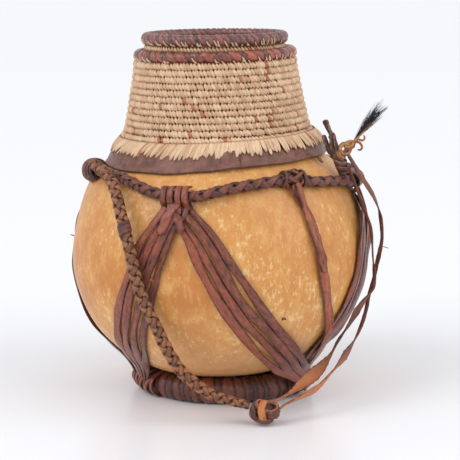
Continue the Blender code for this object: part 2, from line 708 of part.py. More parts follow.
def main():
    clear_scene()
    parts = collection("gourd_vessel")
    cutters = collection("cutters")
    lean = vessel_frame()
    parts.objects.link(lean)
    place(make_gourd(), "gourd_skin", parts, lean)
    place(make_neck_basket(), "palm_fibre", parts, lean)
    place(make_collar(), "collar_leather", parts, lean)
    place(make_rim("neck_rim_binding", NECK_BINDING), "binding_leather", parts, lean)
    skew_lid(place(make_lid_basket(), "palm_fibre", parts, lean))
    skew_lid(place(make_rim("lid_rim_binding", LID_BINDING), "binding_leather", parts, lean))
    place(make_foot_ring(), "binding_leather", parts)
    place(make_shoulder_cord(), "strap_leather", parts, lean)
    for fan in FANS:
        place(make_fan(*fan), "strap_leather", parts, lean)
    place(make_single_strap(), "strap_leather", parts, lean)
    cutter = vessel_cutter()
    cutters.objects.link(cutter)
    cutter.parent = lean
    cutter.location = (0.0, 0.0, -LEAN_PIVOT[2] * MM)
    for name, knot in (("left_knot", LEFT_KNOT), ("front_knot", FRONT_KNOT)):
        place(make_cord_knot(name, *knot, cutter), "strap_leather", parts, lean)
    place(make_braid(), "braid_leather", parts)
    place(make_floor_knot(), "thong_hide", parts)
    place(make_thong("outer_thong", OUTER_THONG), "thong_hide", parts)
    place(make_thong("inner_thong", INNER_THONG), "thong_hide", parts)
    place(make_right_knot(), "strap_leather", parts)
    place(make_tail(), "thong_hide", parts)


main()
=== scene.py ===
"""The looks of the gourd vessel: its basketry, plaits, straps and knots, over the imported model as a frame.

Sizes are in millimetres and become metres as each mesh is made. The gourd, its neck and its lid are made
upright and then leaned together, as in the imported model.
"""

import random
from math import atan2, copysign, cos, degrees, hypot, pi, radians, sin, sqrt, tan, tau

import bmesh
import bpy
from mathutils import Matrix, Vector, noise


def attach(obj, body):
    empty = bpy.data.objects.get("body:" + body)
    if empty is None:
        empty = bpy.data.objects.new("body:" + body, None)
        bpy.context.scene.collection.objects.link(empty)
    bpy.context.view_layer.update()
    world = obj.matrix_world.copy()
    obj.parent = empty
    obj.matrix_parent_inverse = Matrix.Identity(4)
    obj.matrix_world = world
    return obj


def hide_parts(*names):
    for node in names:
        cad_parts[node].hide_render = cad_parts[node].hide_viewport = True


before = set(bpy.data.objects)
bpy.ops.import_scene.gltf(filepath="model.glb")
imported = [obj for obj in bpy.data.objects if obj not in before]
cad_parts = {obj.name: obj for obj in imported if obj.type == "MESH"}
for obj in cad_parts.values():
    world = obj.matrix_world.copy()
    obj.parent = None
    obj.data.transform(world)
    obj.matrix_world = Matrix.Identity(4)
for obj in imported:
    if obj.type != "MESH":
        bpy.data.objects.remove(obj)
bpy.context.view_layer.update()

# Camera
# It stands 1.4 m in front of the vessel and a little above its rim, and looks 10 degrees down with a long
# lens.
CAMERA_PLACE = (0.0066, -1.364, 0.378)
CAMERA_TILT_DEG = 80.047
CAMERA_VIEW_DEG = 16.582

camera = bpy.data.objects.new("camera", bpy.data.cameras.new("camera"))
camera.location = CAMERA_PLACE
camera.rotation_euler = (radians(CAMERA_TILT_DEG), 0.0, 0.0)
camera.data.angle = radians(CAMERA_VIEW_DEG)
camera.data.clip_start = 0.05
bpy.context.scene.collection.objects.link(camera)
bpy.context.scene.camera = camera

# Carrying strap, plaited part
# Six narrow strands of dry brown hide, three winding each way round each other, so that they lie in rows of
# Vs. It hangs from the knot on the left, across the front of the gourd, to a knot on the floor.
MM = 0.001
PLAIT_ROUTE = (
    (-108.5, -47, 204), (-105, -57, 203.5), (-100.3, -65, 201), (-95, -76, 198.5), (-89.5, -89, 193.5),
    (-84, -103, 181), (-79, -112, 162), (-74, -118, 143), (-68.5, -121.5, 118), (-61, -124.5, 98),
    (-53, -125, 82), (-46, -125, 66), (-34, -125, 46), (-20, -126, 33), (-6, -127, 24.5), (12, -127, 19),
    (22.6, -127, 16.5),
)
PLAIT_LAY = 27.0  # length of one turn of a strand
PLAIT_STRAND = (4.9, 2.5)  # width and thickness
PLAIT_PAIRS = 3  # strands that wind each way
# (share of its length, share of its full size)
PLAIT_TAPER = ((0.0, 0.86), (0.04, 1.0), (0.84, 1.0), (0.93, 0.86), (1.0, 0.7))
PLAIT_BODY = 3.3  # radius at the middle of the strands
STRAND_SWAY = 0.75  # how far a strand rises over one and dips under the next
STRAND_WANDER = 0.3  # how unevenly a strand winds, in radians, and how unevenly it stands out, in millimetres
STRAND_LUMP = 0.25  # how much its width changes, as a share


def smooth_through(points, steps):
    """Points on a Catmull-Rom curve through the given ones, with this many steps between two of them."""
    points = [Vector(point) for point in points]
    ends = [2 * points[0] - points[1]] + points + [2 * points[-1] - points[-2]]
    out = []
    for a, b, c, d in zip(ends, ends[1:], ends[2:], ends[3:]):
        for step in range(steps):
            t = step / steps
            start = 2 * b + (c - a) * t + (2 * a - 5 * b + 4 * c - d) * t**2
            out.append(0.5 * (start + (3 * b - a - 3 * c + d) * t**3))
    return out + [points[-1]]


def evenly(points, spacing):
    """The same polyline with points about this far apart, and its length."""
    lengths = [0.0]
    for a, b in zip(points, points[1:]):
        lengths.append(lengths[-1] + (b - a).length)
    count = max(round(lengths[-1] / spacing), 2)
    out = []
    at = 0
    for index in range(count + 1):
        target = lengths[-1] * index / count
        while at < len(points) - 2 and lengths[at + 1] < target:
            at += 1
        share = (target - lengths[at]) / max(lengths[at + 1] - lengths[at], 1e-9)
        out.append(points[at].lerp(points[at + 1], share))
    return out, lengths[-1]


def read_at(table, x):
    """The value at x of a table of (x, value) pairs, in rising x."""
    for (x0, y0), (x1, y1) in zip(table, table[1:]):
        if x <= x1:
            return y0 + (y1 - y0) * max(x - x0, 0.0) / (x1 - x0)
    return table[-1][1]


def travel(points):
    """Each point with the path's direction and two directions across it, turning as little as they can."""
    out = []
    across = None
    for index, point in enumerate(points):
        ahead = (points[min(index + 1, len(points) - 1)] - points[max(index - 1, 0)]).normalized()
        across = across or ahead.orthogonal()
        across = (across - ahead * across.dot(ahead)).normalized()
        out.append((point, ahead, across, ahead.cross(across)))
    return out


def lay_grid(bm, around_steps, along_steps, place):
    """A grid whose points go where place(u, v) says, with how each lies on its strip kept for the finishes.

    place gives the point and how it lies: its distance from the strip's middle as a share of half the width,
    its distance along the strip, and the strip's tone.
    """
    lie = bm.verts.layers.float_vector.get("lie") or bm.verts.layers.float_vector.new("lie")
    for vert in bmesh.ops.create_grid(bm, x_segments=around_steps, y_segments=along_steps, size=0.5)["verts"]:
        point, lies = place(vert.co.x + 0.5, vert.co.y + 0.5)
        vert.co = point * MM
        vert[lie] = lies


def lay_strand(bm, centres, outs, size, tone, sides=8, square=1.0, taper=2.0, far=0.0):
    """A closed strand or strip along the centres, flat across the directions outs, pointed at both ends.

    size gives its (width, thickness) at each centre, or once for them all. square under 1 makes it a strap.
    """
    steps = len(centres) - 1
    sizes = size if isinstance(size, list) else [size] * len(centres)
    reach = [0.0]
    for a, b in zip(centres, centres[1:]):
        reach.append(reach[-1] + (b - a).length)

    def place(u, v):
        index = round(v * steps)
        ahead = centres[min(index + 1, steps)] - centres[max(index - 1, 0)]
        side = ahead.cross(outs[index]).normalized()
        out = side.cross(ahead).normalized()
        from_end = min(reach[index], reach[-1] - reach[index])
        full = sqrt(max(1.0 - (1.0 - min(from_end / taper, 1.0)) ** 2, 0.0)) if taper else 1.0
        turn = tau * u
        x = copysign(abs(cos(turn)) ** square, cos(turn))
        y = copysign(abs(sin(turn)) ** square, sin(turn))
        width, thick = sizes[index]
        point = centres[index] + (side * x * width + out * y * thick) * 0.5 * full
        return point, (x, far + reach[index], tone)

    lay_grid(bm, sides, steps, place)


def plait(bm, points, lay, strand, body, sway, pairs, taper=((0, 1), (1, 1))):
    """Strands round a path, as many winding each way, which pass over and under each other by turns."""
    line = travel(points)
    step = (points[1] - points[0]).length
    scales = [read_at(taper, index / (len(points) - 1)) for index in range(len(points))]
    for number in range(2 * pairs):
        way = 1 if number < pairs else -1
        centres, outs, sizes = [], [], []
        for index, (point, _, across, over) in enumerate(line):
            turned = tau * index * step / lay
            uneven = STRAND_WANDER * noise.noise(point * 0.08 + Vector((number, 0, 0)))
            angle = way * turned + tau * (number % pairs) / pairs + uneven
            out = across * cos(angle) + over * sin(angle)
            lump = noise.noise(point * 0.22 + Vector((0, number, 0)))
            stand = body + STRAND_WANDER * lump + way * sway * cos(pairs * turned)
            centres.append(point + out * stand * scales[index])
            outs.append(out + over.cross(out) * 0.2 * lump)
            sizes.append((strand[0] * (1 + STRAND_LUMP * lump) * scales[index], strand[1] * scales[index]))
        lay_strand(bm, centres, outs, sizes, number / (2 * pairs - 1))
    # a core of the darkest tone fills the middle: painted shade that shows in the gaps between the strands
    core = [(2 * body * scale - 1.0, 2 * body * scale - 1.0) for scale in scales]
    lay_strand(bm, points, [across for _, _, across, _ in line], core, -1.0)


MERGE_DISTANCE = 0.000001  # metres


def make_piece(name, bm, finish, slot, *stands_for, place=None):
    """Closes the seams of bm, makes it a piece with its finish, and hides the imported solids it stands for.
    """
    bmesh.ops.remove_doubles(bm, verts=bm.verts, dist=MERGE_DISTANCE)
    if place:
        bm.transform(place)
    bmesh.ops.recalc_face_normals(bm, faces=bm.faces)
    mesh = bpy.data.meshes.new(name)
    bm.to_mesh(mesh)
    bm.free()
    mesh.materials.append(finish)
    mesh.shade_smooth()
    obj = bpy.data.objects.new(name, mesh)
    bpy.context.scene.collection.objects.link(obj)
    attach(obj, "root")
    if stands_for:
        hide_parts(*stands_for)
    return obj


def hex_colour(text):
    """A linear colour from an sRGB hex value."""
    parts = [int(text[at:at + 2], 16) / 255 for at in (1, 3, 5)]
    return (*[part / 12.92 if part <= 0.04045 else ((part + 0.055) / 1.055) ** 2.4 for part in parts], 1.0)


def add_node(finish, kind, sockets, **settings):
    """Adds a shader node. settings are its properties, sockets its inputs: values or nodes' outputs."""
    made = finish.node_tree.nodes.new("ShaderNode" + kind)
    for key, value in settings.items():
        setattr(made, key, value)
    for key, value in sockets.items():
        if isinstance(value, bpy.types.NodeSocket):
            finish.node_tree.links.new(value, made.inputs[key])
        else:
            made.inputs[key].default_value = value
    return made


def tint(finish, base, paint, source, start, full, most=1.0):
    """base with the colour paint over it, showing more as source goes from start to full, up to a share."""
    share = add_node(
        finish, "MapRange", {"Value": source, "From Min": start, "From Max": full, "To Max": most},
    )
    return add_node(
        finish, "Mix", {0: share.outputs[0], 6: base, 7: hex_colour(paint)}, data_type="RGBA",
    ).outputs[2]


def dress(finish, shader, colour, relief, depth, strength):
    """Gives the shader its colour and a bump as deep as this many millimetres."""
    bump = add_node(finish, "Bump", {"Height": relief, "Distance": depth * MM, "Strength": strength})
    finish.node_tree.links.new(colour, shader.inputs["Base Color"])
    finish.node_tree.links.new(bump.outputs[0], shader.inputs["Normal"])


def new_finish(name, **sockets):
    """A material and its Principled shader, with the sockets that are the same all over it."""
    finish = bpy.data.materials.new(name)
    finish.use_nodes = True
    shader = finish.node_tree.nodes["Principled BSDF"]
    for key, value in sockets.items():
        shader.inputs[key.replace("_", " ").title().replace("Ior", "IOR")].default_value = value
    return finish, shader


def hide_finish(name, dark, middle, edge, roughness, edge_from=1.25, grain_mm=0.9, wax=0.0, low=None):
    """Dry vegetable-tanned hide: streaked along each strip, in its own tone, its sides another colour.

    wax is how much of it has been rubbed shiny, and low is its colour close to the floor.
    """
    finish, shader = new_finish(name, roughness=roughness, ior=1.45, coat_weight=wax, coat_roughness=0.22)
    where = add_node(finish, "TexCoord", {}).outputs["Object"]
    lie = add_node(finish, "Attribute", {}, attribute_name="lie").outputs["Vector"]
    parts = add_node(finish, "SeparateXYZ", {0: lie}).outputs
    clouds = {"Vector": where, "Scale": 1 / (5 * MM), "Detail": 6, "Roughness": 0.7}
    cloud = add_node(finish, "TexNoise", clouds).outputs["Fac"]
    own = add_node(finish, "Math", {0: parts["Z"], 1: 0.5, 2: -0.2}, operation="MULTIPLY_ADD").outputs[0]
    stretch = {"Vector": lie, "Location": (0, 0, 3), "Scale": (1.5, 0.11, 37)}
    along = add_node(finish, "Mapping", stretch).outputs[0]
    streaks = {"Vector": along, "Scale": 1.0, "Detail": 5, "Roughness": 0.65}
    streak = add_node(finish, "TexNoise", streaks).outputs["Fac"]
    mixed = add_node(finish, "Math", {0: streak, 1: 2.3, 2: own}, operation="MULTIPLY_ADD").outputs[0]
    share = add_node(finish, "Math", {0: cloud, 1: 1.1, 2: mixed}, operation="MULTIPLY_ADD").outputs[0]
    share = add_node(finish, "Math", {0: share, 1: 1.12}, operation="SUBTRACT", use_clamp=True).outputs[0]
    body = add_node(
        finish, "Mix", {0: share, 6: hex_colour(dark), 7: hex_colour(middle)}, data_type="RGBA",
    ).outputs[2]
    if low:
        height = add_node(finish, "SeparateXYZ", {0: where}).outputs["Z"]
        body = tint(finish, body, low, height, 0.05, 0.03, 0.75)
    # the sides of each strip, strand or turn take the colour edge: where it is darker than the hide, it is
    # painted shade in the gaps and grooves between them
    side = add_node(finish, "Math", {0: parts["X"]}, operation="ABSOLUTE").outputs[0]
    patch = add_node(
        finish, "TexNoise", {"Vector": where, "Scale": 1 / (2.6 * MM), "Detail": 3},
    ).outputs["Fac"]
    near = add_node(finish, "Math", {0: side, 1: patch}, operation="ADD").outputs[0]
    colour = tint(finish, body, edge, near, edge_from, edge_from + 0.3, 0.8)
    grain = {"Vector": where, "Scale": 1 / (grain_mm * MM), "Detail": 4, "Roughness": 0.7}
    fine = add_node(finish, "TexNoise", grain).outputs["Fac"]
    both = add_node(finish, "Math", {0: streak, 1: fine}, operation="ADD").outputs[0]
    dress(finish, shader, colour, both, 0.6, 0.8)
    return finish


# dull chestnut brown, with painted shade, nearly black, where the strands meet
plait_hide = hide_finish("dry_brown_plaited_hide", "#4A291C", "#A66C48", "#22100B", 0.5, edge_from=1.12)
# darker and more purple than the plait
splice_hide = hide_finish("purple_brown_bound_hide", "#3A2222", "#7A4A44", "#2A1715", 0.45)

PLAIT_STEP = 0.9
plait_path, plait_length = evenly(smooth_through(PLAIT_ROUTE, 16), PLAIT_STEP)
bm = bmesh.new()
plait(bm, plait_path, PLAIT_LAY, PLAIT_STRAND, PLAIT_BODY, STRAND_SWAY, PLAIT_PAIRS, PLAIT_TAPER)
carry_plait = make_piece("carry_plait", bm, plait_hide, "braid_leather", "carry_braid")

# the strip bound round the plait where two of its strands were pieced
SPLICE_START = 84.0  # along the plait
SPLICE_PITCH = 4.0
SPLICE_TURNS = 3
SPLICE_REACH = 7.0  # how far each turn slants along the plait
SPLICE_STRIP = (4.2, 1.6)
SPLICE_STEPS = 24

bm = bmesh.new()
wrap_line = travel(plait_path)
for turn in range(SPLICE_TURNS):
    centres, outs = [], []
    for step in range(SPLICE_STEPS + 1):
        angle = tau * step / SPLICE_STEPS
        far = SPLICE_START + turn * SPLICE_PITCH + SPLICE_REACH * step / SPLICE_STEPS
        point, _, across, over = wrap_line[round(far / PLAIT_STEP)]
        out = across * cos(angle + turn) + over * sin(angle + turn)
        centres.append(point + out * (PLAIT_BODY + SPLICE_STRIP[1]))
        outs.append(out)
    lay_strand(bm, centres, outs, SPLICE_STRIP, 0.3 * turn, square=0.8)
splice = make_piece("plait_splice", bm, splice_hide, "braid_leather")

# Floor knot
# The plait and both thongs are tied in a fist of hide: dark lobes on both sides with one orange strap drawn
# over the top. It lies on the floor in front of the foot ring.
KNOT_PLACE = Vector((34.5, -127.0, 11.2))
# each loop: radius, width, thickness, tilt, turn and shift of its plane, and which of the knot's pieces it
# is in
KNOT_LOOPS = (
    (5.4, 4.0, 3.2, 78, 25, (-5.4, 0.0, 1.0), 0), (5.6, 3.8, 3.2, 62, 50, (-5.0, -1.0, -1.6), 0),
    (4.8, 3.6, 3.0, 70, 5, (-6.2, -1.6, -1.0), 1), (5.2, 3.4, 2.8, 24, -12, (5.4, -0.8, 3.4), 1),
    (5.8, 3.2, 2.8, 12, 12, (5.8, -1.0, 0.8), 0), (5.6, 3.4, 2.8, -4, 0, (5.6, -0.8, -2.0), 1),
    (5.0, 3.4, 2.8, -16, 8, (5.0, -0.4, -4.4), 0), (8.0, 6.6, 3.2, 84, 70, (0.4, -0.8, 0.2), 2),
    (7.0, 4.2, 3.2, 12, 30, (-0.6, 0.2, -5.2), 0), (6.6, 3.4, 2.8, 30, 60, (-0.6, -0.2, 4.6), 1),
)
LOOP_STEPS = 30
LOOP_WOBBLE = 0.06  # how unround a turn is, as a share of its radius
KNOT_HEART = 7.2  # radius of what fills the knot


def circle(lean, steps):
    """Directions round a full circle in the plane that lean turns the ground into."""
    turns = [tau * step / steps for step in range(steps + 1)]
    return [lean @ Vector((cos(turn), sin(turn), 0)) for turn in turns]


def tie_loop(bm, centre, radius, width, thick, tilt, turn, tone):
    """One closed turn of a flat strand."""
    lean = Matrix.Rotation(radians(turn), 3, "Z") @ Matrix.Rotation(radians(tilt), 3, "X")
    outs = circle(lean, LOOP_STEPS)
    wobble = [1.0 + LOOP_WOBBLE * noise.noise(out * 1.7 + Vector((tone * 9, tilt, turn))) for out in outs]
    centres = [centre + out * radius * swell for out, swell in zip(outs, wobble)]
    lay_strand(bm, centres, outs, (width, thick), tone, square=0.8, taper=0.0)


# dark brown lobes, red-brown side folds and an orange strap over the top
knot_hide = hide_finish("dark_knotted_hide", "#2E1B16", "#70463A", "#9A7156", 0.6)
red_hide = hide_finish("red_brown_knotted_hide", "#4A2320", "#8F5244", "#B08262", 0.5)
orange_hide = hide_finish("orange_rawhide", "#8A4624", "#C97F4C", "#7A4022", 0.5, edge_from=1.3)

KNOT_PIECES = (
    ("floor_knot_lobe", knot_hide), ("floor_knot_side", red_hide), ("floor_knot_strap", orange_hide),
)
for kind, (name, finish) in enumerate(KNOT_PIECES):
    bm = bmesh.new()
    for number, (radius, width, thick, tilt, turn, shift, hide) in enumerate(KNOT_LOOPS):
        if hide == kind:
            tone = number / (len(KNOT_LOOPS) - 1)
            tie_loop(bm, KNOT_PLACE + Vector(shift), radius, width, thick, tilt, turn, tone)
    if kind == 0:
        at_knot = Matrix.Translation(KNOT_PLACE * MM)
        bmesh.ops.create_uvsphere(bm, u_segments=24, v_segments=16, radius=KNOT_HEART * MM, matrix=at_knot)
    made = make_piece(name, bm, finish, "thong_hide", "floor_knot")

# Thongs
# Two strips cut from one orange-brown rawhide, twisted as they dried: broad leaf-like stretches lie flat
# between thin dark twisted ones, and their edges are frayed. They run up to the knot on the right.

# (x, y, z, width, twist in degrees) along each thong, up from the floor knot
OUTER_THONG = (
    (40.5, -127, 12.5, 4, 60), (47.4, -125.5, 13.5, 4, 60), (52, -122, 16, 6, 40), (66, -114, 20.5, 8, 20),
    (79, -104, 25, 6, 30), (90, -94, 34, 7, 40), (100, -86, 44, 11, 10), (109.8, -76, 55.7, 10, 20),
    (117.1, -67, 68.2, 5, 50), (121.7, -60, 80.4, 4, 70), (124.8, -54, 93.2, 4, 60), (129, -49, 106, 4, 50),
    (131.5, -47, 117.7, 6, 40), (134.1, -46, 129.5, 5, 60), (135.6, -46, 141.6, 3, 70),
    (133.5, -46, 160.5, 4, 60), (128.2, -46, 175, 8, 20), (120.4, -46, 187.8, 9, 0),
    (113.5, -45.5, 198.8, 9, 0), (109.2, -45, 205.6, 7, 0), (105.0, -46, 212.5, 5, 10),
)
INNER_THONG = (
    (39.5, -124.5, 16.6, 4, 60), (45.6, -122, 19.4, 4, 60), (50, -120, 21.5, 8, 20),
    (57.3, -116, 25.4, 12, 0), (64, -111, 29, 12.5, 0), (70.8, -106, 32.8, 10, 5), (81.1, -97, 38.9, 5, 30),
    (89.8, -88, 47.6, 4, 60), (96.8, -81, 58.7, 7, 20), (105.5, -75, 70.1, 10, 0), (113.3, -70, 81.9, 8, 0),
    (120.9, -67, 92.4, 4, 50), (127, -64, 100.3, 4, 60), (128.3, -61, 110.9, 8, 20),
    (127, -59, 125.1, 7, 20), (126, -58, 140.3, 4, 50), (124.1, -58, 153.1, 5, 40),
    (119.3, -58, 165.9, 3, 60), (114.5, -58, 179.4, 4, 40), (108.6, -57, 194.5, 4, 40),
    (104.5, -53, 205, 4, 30),
)
THONG_THICK = 1.5


def lay_thong(bm, route, tone):
    """A flat thong of uneven width, twisted along its way, with wavering torn edges."""
    points, length = evenly(smooth_through([point[:3] for point in route], 12), 1.2)
    settings = smooth_through([(point[3], point[4], 0) for point in route], 12)
    centres, outs, sizes = [], [], []
    for index, (point, ahead, _, _) in enumerate(travel(points)):
        setting = settings[round(index / (len(points) - 1) * (len(settings) - 1))]
        flat = Vector((point.x, point.y, 0)).normalized().cross(ahead).normalized()
        turned = Matrix.Rotation(radians(setting.y), 3, ahead) @ flat
        torn = 1.0 + 0.14 * noise.noise(point * 0.35 + Vector((tone, 0, 0))) + 0.12 * noise.noise(point * 1.3)
        thick = THONG_THICK * max(1.9 - setting.x / 9, 0.8)
        centres.append(point)
        outs.append(turned.cross(ahead))
        sizes.append((setting.x * torn, thick))
    lay_strand(bm, centres, outs, sizes, tone, square=0.75, taper=4.0)
    return points, length


# dark red-brown, turning bright orange close to the floor
thong_hide = hide_finish(
    "orange_brown_thong_hide", "#48221A", "#98563A", "#3E221A", 0.42, edge_from=1.25, low="#D0804A",
)
bm = bmesh.new()
outer_path, outer_length = lay_thong(bm, OUTER_THONG, 0.2)
outer_thong = make_piece("thong_outer", bm, thong_hide, "thong_hide", "outer_thong")
bm = bmesh.new()
inner_path, inner_length = lay_thong(bm, INNER_THONG, 0.0)
inner_thong = make_piece("thong_inner", bm, thong_hide, "thong_hide", "inner_thong")

# Knot on the right, and its tail
# The thongs' upper ends are tied by the neck: grey-brown strands wound together rise from the shoulder
# cord, dark stub ends stand up, and a fat loop lets one orange end out. The tail still has the hair on it,
# a dark wispy tuft.
RISER_ROUTE = ((103.6, -45, 193.6), (100.5, -45, 199), (98, -44, 206), (96.5, -44, 212))
# each end: its points and its width
STUB_ENDS = (
    (
        (
            (99, -44, 204), (94.5, -44, 213), (92.5, -44, 221), (92, -44, 227), (89.5, -44, 232),
            (87.4, -44, 237), (86, -44, 240.5),
        ),
        5.6,
    ),
    (((97, -43, 205), (91, -43, 213), (87.5, -42, 221), (85.0, -42, 227.5)), 5.0),
    (((102, -45, 203), (98, -46, 212), (95.2, -46, 221), (93.6, -46, 228)), 4.4),
    (((98, -44, 205), (101, -47, 211), (105, -46, 216), (108, -45, 219)), 4.4),
    (((92.6, -44, 223), (90.5, -46, 226), (92.5, -46.5, 229), (94.5, -45, 226.5)), 3.0),
)
# each loop: radius, width, thickness, tilt, turn and centre
LOOP_TURNS = (
    (4.3, 4.6, 3.8, 82, 12, (103.2, -45.5, 215.8)), (3.4, 4.4, 3.4, 60, 60, (99.8, -45.5, 211.0)),
    (3.6, 4.0, 3.2, 40, -30, (107.0, -45.0, 219.0)),
)
RISER_TURNS = ((4.5, 4.4, 2.6, 24, 20, (101.4, -45, 200.5)), (4.4, 4.6, 2.8, 30, 20, (99.6, -44.5, 205.0)))
TAIL_ROUTE = (
    (104, -45, 218), (108.5, -45, 220.4), (112.4, -45.5, 222.6), (115, -45, 226.5), (118, -45, 231),
    (121.5, -45, 234.6), (125.5, -45, 238.4),
)
TAIL_SIZES = ((0, 4.5), (0.2, 5.6), (0.4, 4.4), (0.6, 5.0), (0.85, 3.4), (1, 1.2))
TATTERS = (
    ((112, -45, 222), (115.5, -46.5, 221), (117.5, -46.5, 217.5), (115.8, -46.5, 215.0), (113.4, -46, 215.6)),
    ((114, -45, 224), (118.2, -46, 223), (119.6, -46, 225.4), (118.6, -46, 228)),
)
RISER_STRAND = (4.6, 3.4)
RISER_BODY = 2.6  # radius at the middle of the strands
RISER_STRANDS = 4
RISER_LAY = 24  # length of one turn of a strand
TATTER_STRIP = (2.6, 1.2)
HAIR_COUNT = 170
HAIR_THICK = 0.42

# dusty grey-brown strands and light brown loops
riser_hide = hide_finish("grey_brown_twisted_hide", "#33201C", "#7C5648", "#9A8070", 0.6)
lump_hide = hide_finish("light_brown_knotted_hide", "#6E4026", "#B47C50", "#C79A6C", 0.6)
bm = bmesh.new()
points, _ = evenly(smooth_through(RISER_ROUTE, 8), 1.0)
line = travel(points)
for number in range(RISER_STRANDS):
    centres, outs = [], []
    for index, (point, _, across, over) in enumerate(line):
        angle = tau * (index / RISER_LAY + number / RISER_STRANDS)
        out = across * cos(angle) + over * sin(angle)
        centres.append(point + out * RISER_BODY)
        outs.append(out)
    lay_strand(bm, centres, outs, RISER_STRAND, number / RISER_STRANDS)
for number, (radius, width, thick, tilt, turn, centre) in enumerate(RISER_TURNS):
    tie_loop(bm, Vector(centre), radius, width, thick, tilt, turn, 0.4 + number / 3)
for number, (route, wide) in enumerate(STUB_ENDS):
    points, _ = evenly(smooth_through(route, 8), 1.0)
    outs = [
        Matrix.Rotation(0.09 * index, 3, ahead) @ across
        for index, (_, ahead, across, _) in enumerate(travel(points))
    ]
    swell = [(wide * (1 + 0.45 * noise.noise(point * 0.33)), wide * 0.72) for point in points]
    lay_strand(bm, points, outs, swell, number / 5 - 0.2, taper=2.0)
make_piece("right_knot_strands", bm, riser_hide, "strap_leather", "right_knot")
bm = bmesh.new()
for number, (radius, width, thick, tilt, turn, centre) in enumerate(LOOP_TURNS):
    tie_loop(bm, Vector(centre), radius, width, thick, tilt, turn, number / 3)
right_loop = make_piece("right_knot_loops", bm, lump_hide, "thong_hide", "right_knot")
bm = bmesh.new()
tail_path, _ = evenly(smooth_through(TAIL_ROUTE, 8), 0.9)
outs = [
    Matrix.Rotation(0.14 * index, 3, ahead) @ over
    for index, (_, ahead, _, over) in enumerate(travel(tail_path))
]
sizes = [(read_at(TAIL_SIZES, index / (len(tail_path) - 1)), 1.9) for index in range(len(tail_path))]
lay_strand(bm, tail_path, outs, sizes, 0.5, square=0.8)
for number, route in enumerate(TATTERS):
    points, _ = evenly(smooth_through(route, 6), 0.8)
    lay_strand(bm, points, [over for _, _, _, over in travel(points)], TATTER_STRIP, 0.5 * number, taper=3.0)
tail = make_piece("tail_hide", bm, lump_hide, "thong_hide", "tail_and_tuft")

# nearly black, with a little shine
hair_finish, _ = new_finish("dark_goat_hair", roughness=0.45, base_color=hex_colour("#1E1A20"))
bm = bmesh.new()
dice = random.Random(4)
for number in range(HAIR_COUNT):
    share = dice.uniform(0.25, 1.0)
    root = tail_path[round((len(tail_path) - 1) * share)] + Vector((-0.8, dice.uniform(-1, 1), 0.9))
    spread = dice.random() ** 2.2
    lean = Vector((0.78, dice.uniform(-0.10, 0.10), 0.63)).lerp(
        Vector((0.42, dice.uniform(-0.25, 0.25), 0.95)), spread,
    )
    reach = (13.0 + 13.0 * dice.random()) * (1.25 - 0.35 * share)
    tip = root + lean.normalized() * reach
    bend = root.lerp(tip, 0.5) + Vector((-0.7, 0, 0.9)) * dice.uniform(-0.3, 1.6)
    points, _ = evenly(smooth_through((root, bend, tip), 4), reach / 6)
    thick = [(HAIR_THICK * (1.15 - index / len(points)),) * 2 for index in range(len(points))]
    lay_strand(bm, points, [Vector((0, -1, 0))] * len(points), thick, dice.random(), sides=3, taper=0.0)
tuft = make_piece("tail_tuft", bm, hair_finish, "thong_hide")

# Gourd
# One dried gourd, scraped and rubbed with fat: a thin hard shell with a low sheen, orange-tan, with pale
# flakes where the skin has worn off, fine upright scratches and a few dark specks. Its mouth is cut level.
LEAN_DEG = 1.5
LEAN_PIVOT = Vector((-1.6, 0.0, 115.0))
LEAN = (
    Matrix.Translation(LEAN_PIVOT * MM)
    @ Matrix.Rotation(radians(-LEAN_DEG), 4, "Y")
    @ Matrix.Translation(Vector((0, 0, -LEAN_PIVOT.z)) * MM)
)
# (radius, height) of the skin, from the base to the cut mouth
GOURD_SKIN = (
    (0.0, 14.5), (32.0, 15.6), (57.0, 21.0), (79.5, 31.0), (97.5, 44.5), (112.5, 62.0), (123.0, 84.0),
    (129.0, 110.0), (127.5, 138.0), (121.0, 164.0), (112.3, 185.0), (104.2, 194.5), (94.4, 202.4),
    (85.0, 210.4),
)
GOURD_WALL = 5.0
SKIN_SWELL = 0.45  # how far the skin wanders in and out


def profile_table(profile):
    """(height, radius) pairs of a smoothed (radius, height) profile, in rising height."""
    return sorted((point.y, point.x) for point in smooth_through([(*pair, 0) for pair in profile], 8))


SKIN_TABLE = profile_table(GOURD_SKIN)


def off_profile(table, z, distance):
    """The (radius, height) this far off the profile, along its normal at height z."""
    slope = read_at(table, z + 1.0) - read_at(table, z - 1.0)
    normal = Vector((2.0, -slope)).normalized()
    return read_at(table, z) + distance * normal.x, z + distance * normal.y


def around(azimuth, radius, z):
    """The point at this azimuth, counted from the front towards +X."""
    angle = radians(azimuth)
    return Vector((radius * sin(angle), -radius * cos(angle), z))


def on_skin(azimuth, z, lift, table=SKIN_TABLE):
    """The point at this azimuth and height on the skin, lifted off it."""
    return around(azimuth, *off_profile(table, z, lift))


def turn_profile(bm, profile, steps):
    """Spins a (radius, height) profile into a closed turned piece."""
    verts = [bm.verts.new((r * MM, 0.0, z * MM)) for r, z in profile]
    edges = [bm.edges.new(pair) for pair in zip(verts, verts[1:] + ([verts[0]] if profile[0][0] > 0 else []))]
    bmesh.ops.spin(
        bm, geom=verts + edges, cent=(0, 0, 0), axis=(0, 0, 1), angle=tau, steps=steps, use_merge=True,
        use_normal_flip=False, use_duplicate=False,
    )


# each pattern: its stretch along X, Y and Z, its size in millimetres, its detail and its roughness
GOURD_PATTERNS = {
    "broad": ((1.0, 1.0, 1.0), 48, 4, 0.6),
    "mottle": ((1.0, 1.0, 0.5), 8, 7, 0.75),
    "flake": ((1.0, 1.0, 0.5), 3.4, 8, 0.7),
    "scratch": ((1.0, 1.0, 0.12), 1.6, 3, 0.5),
}
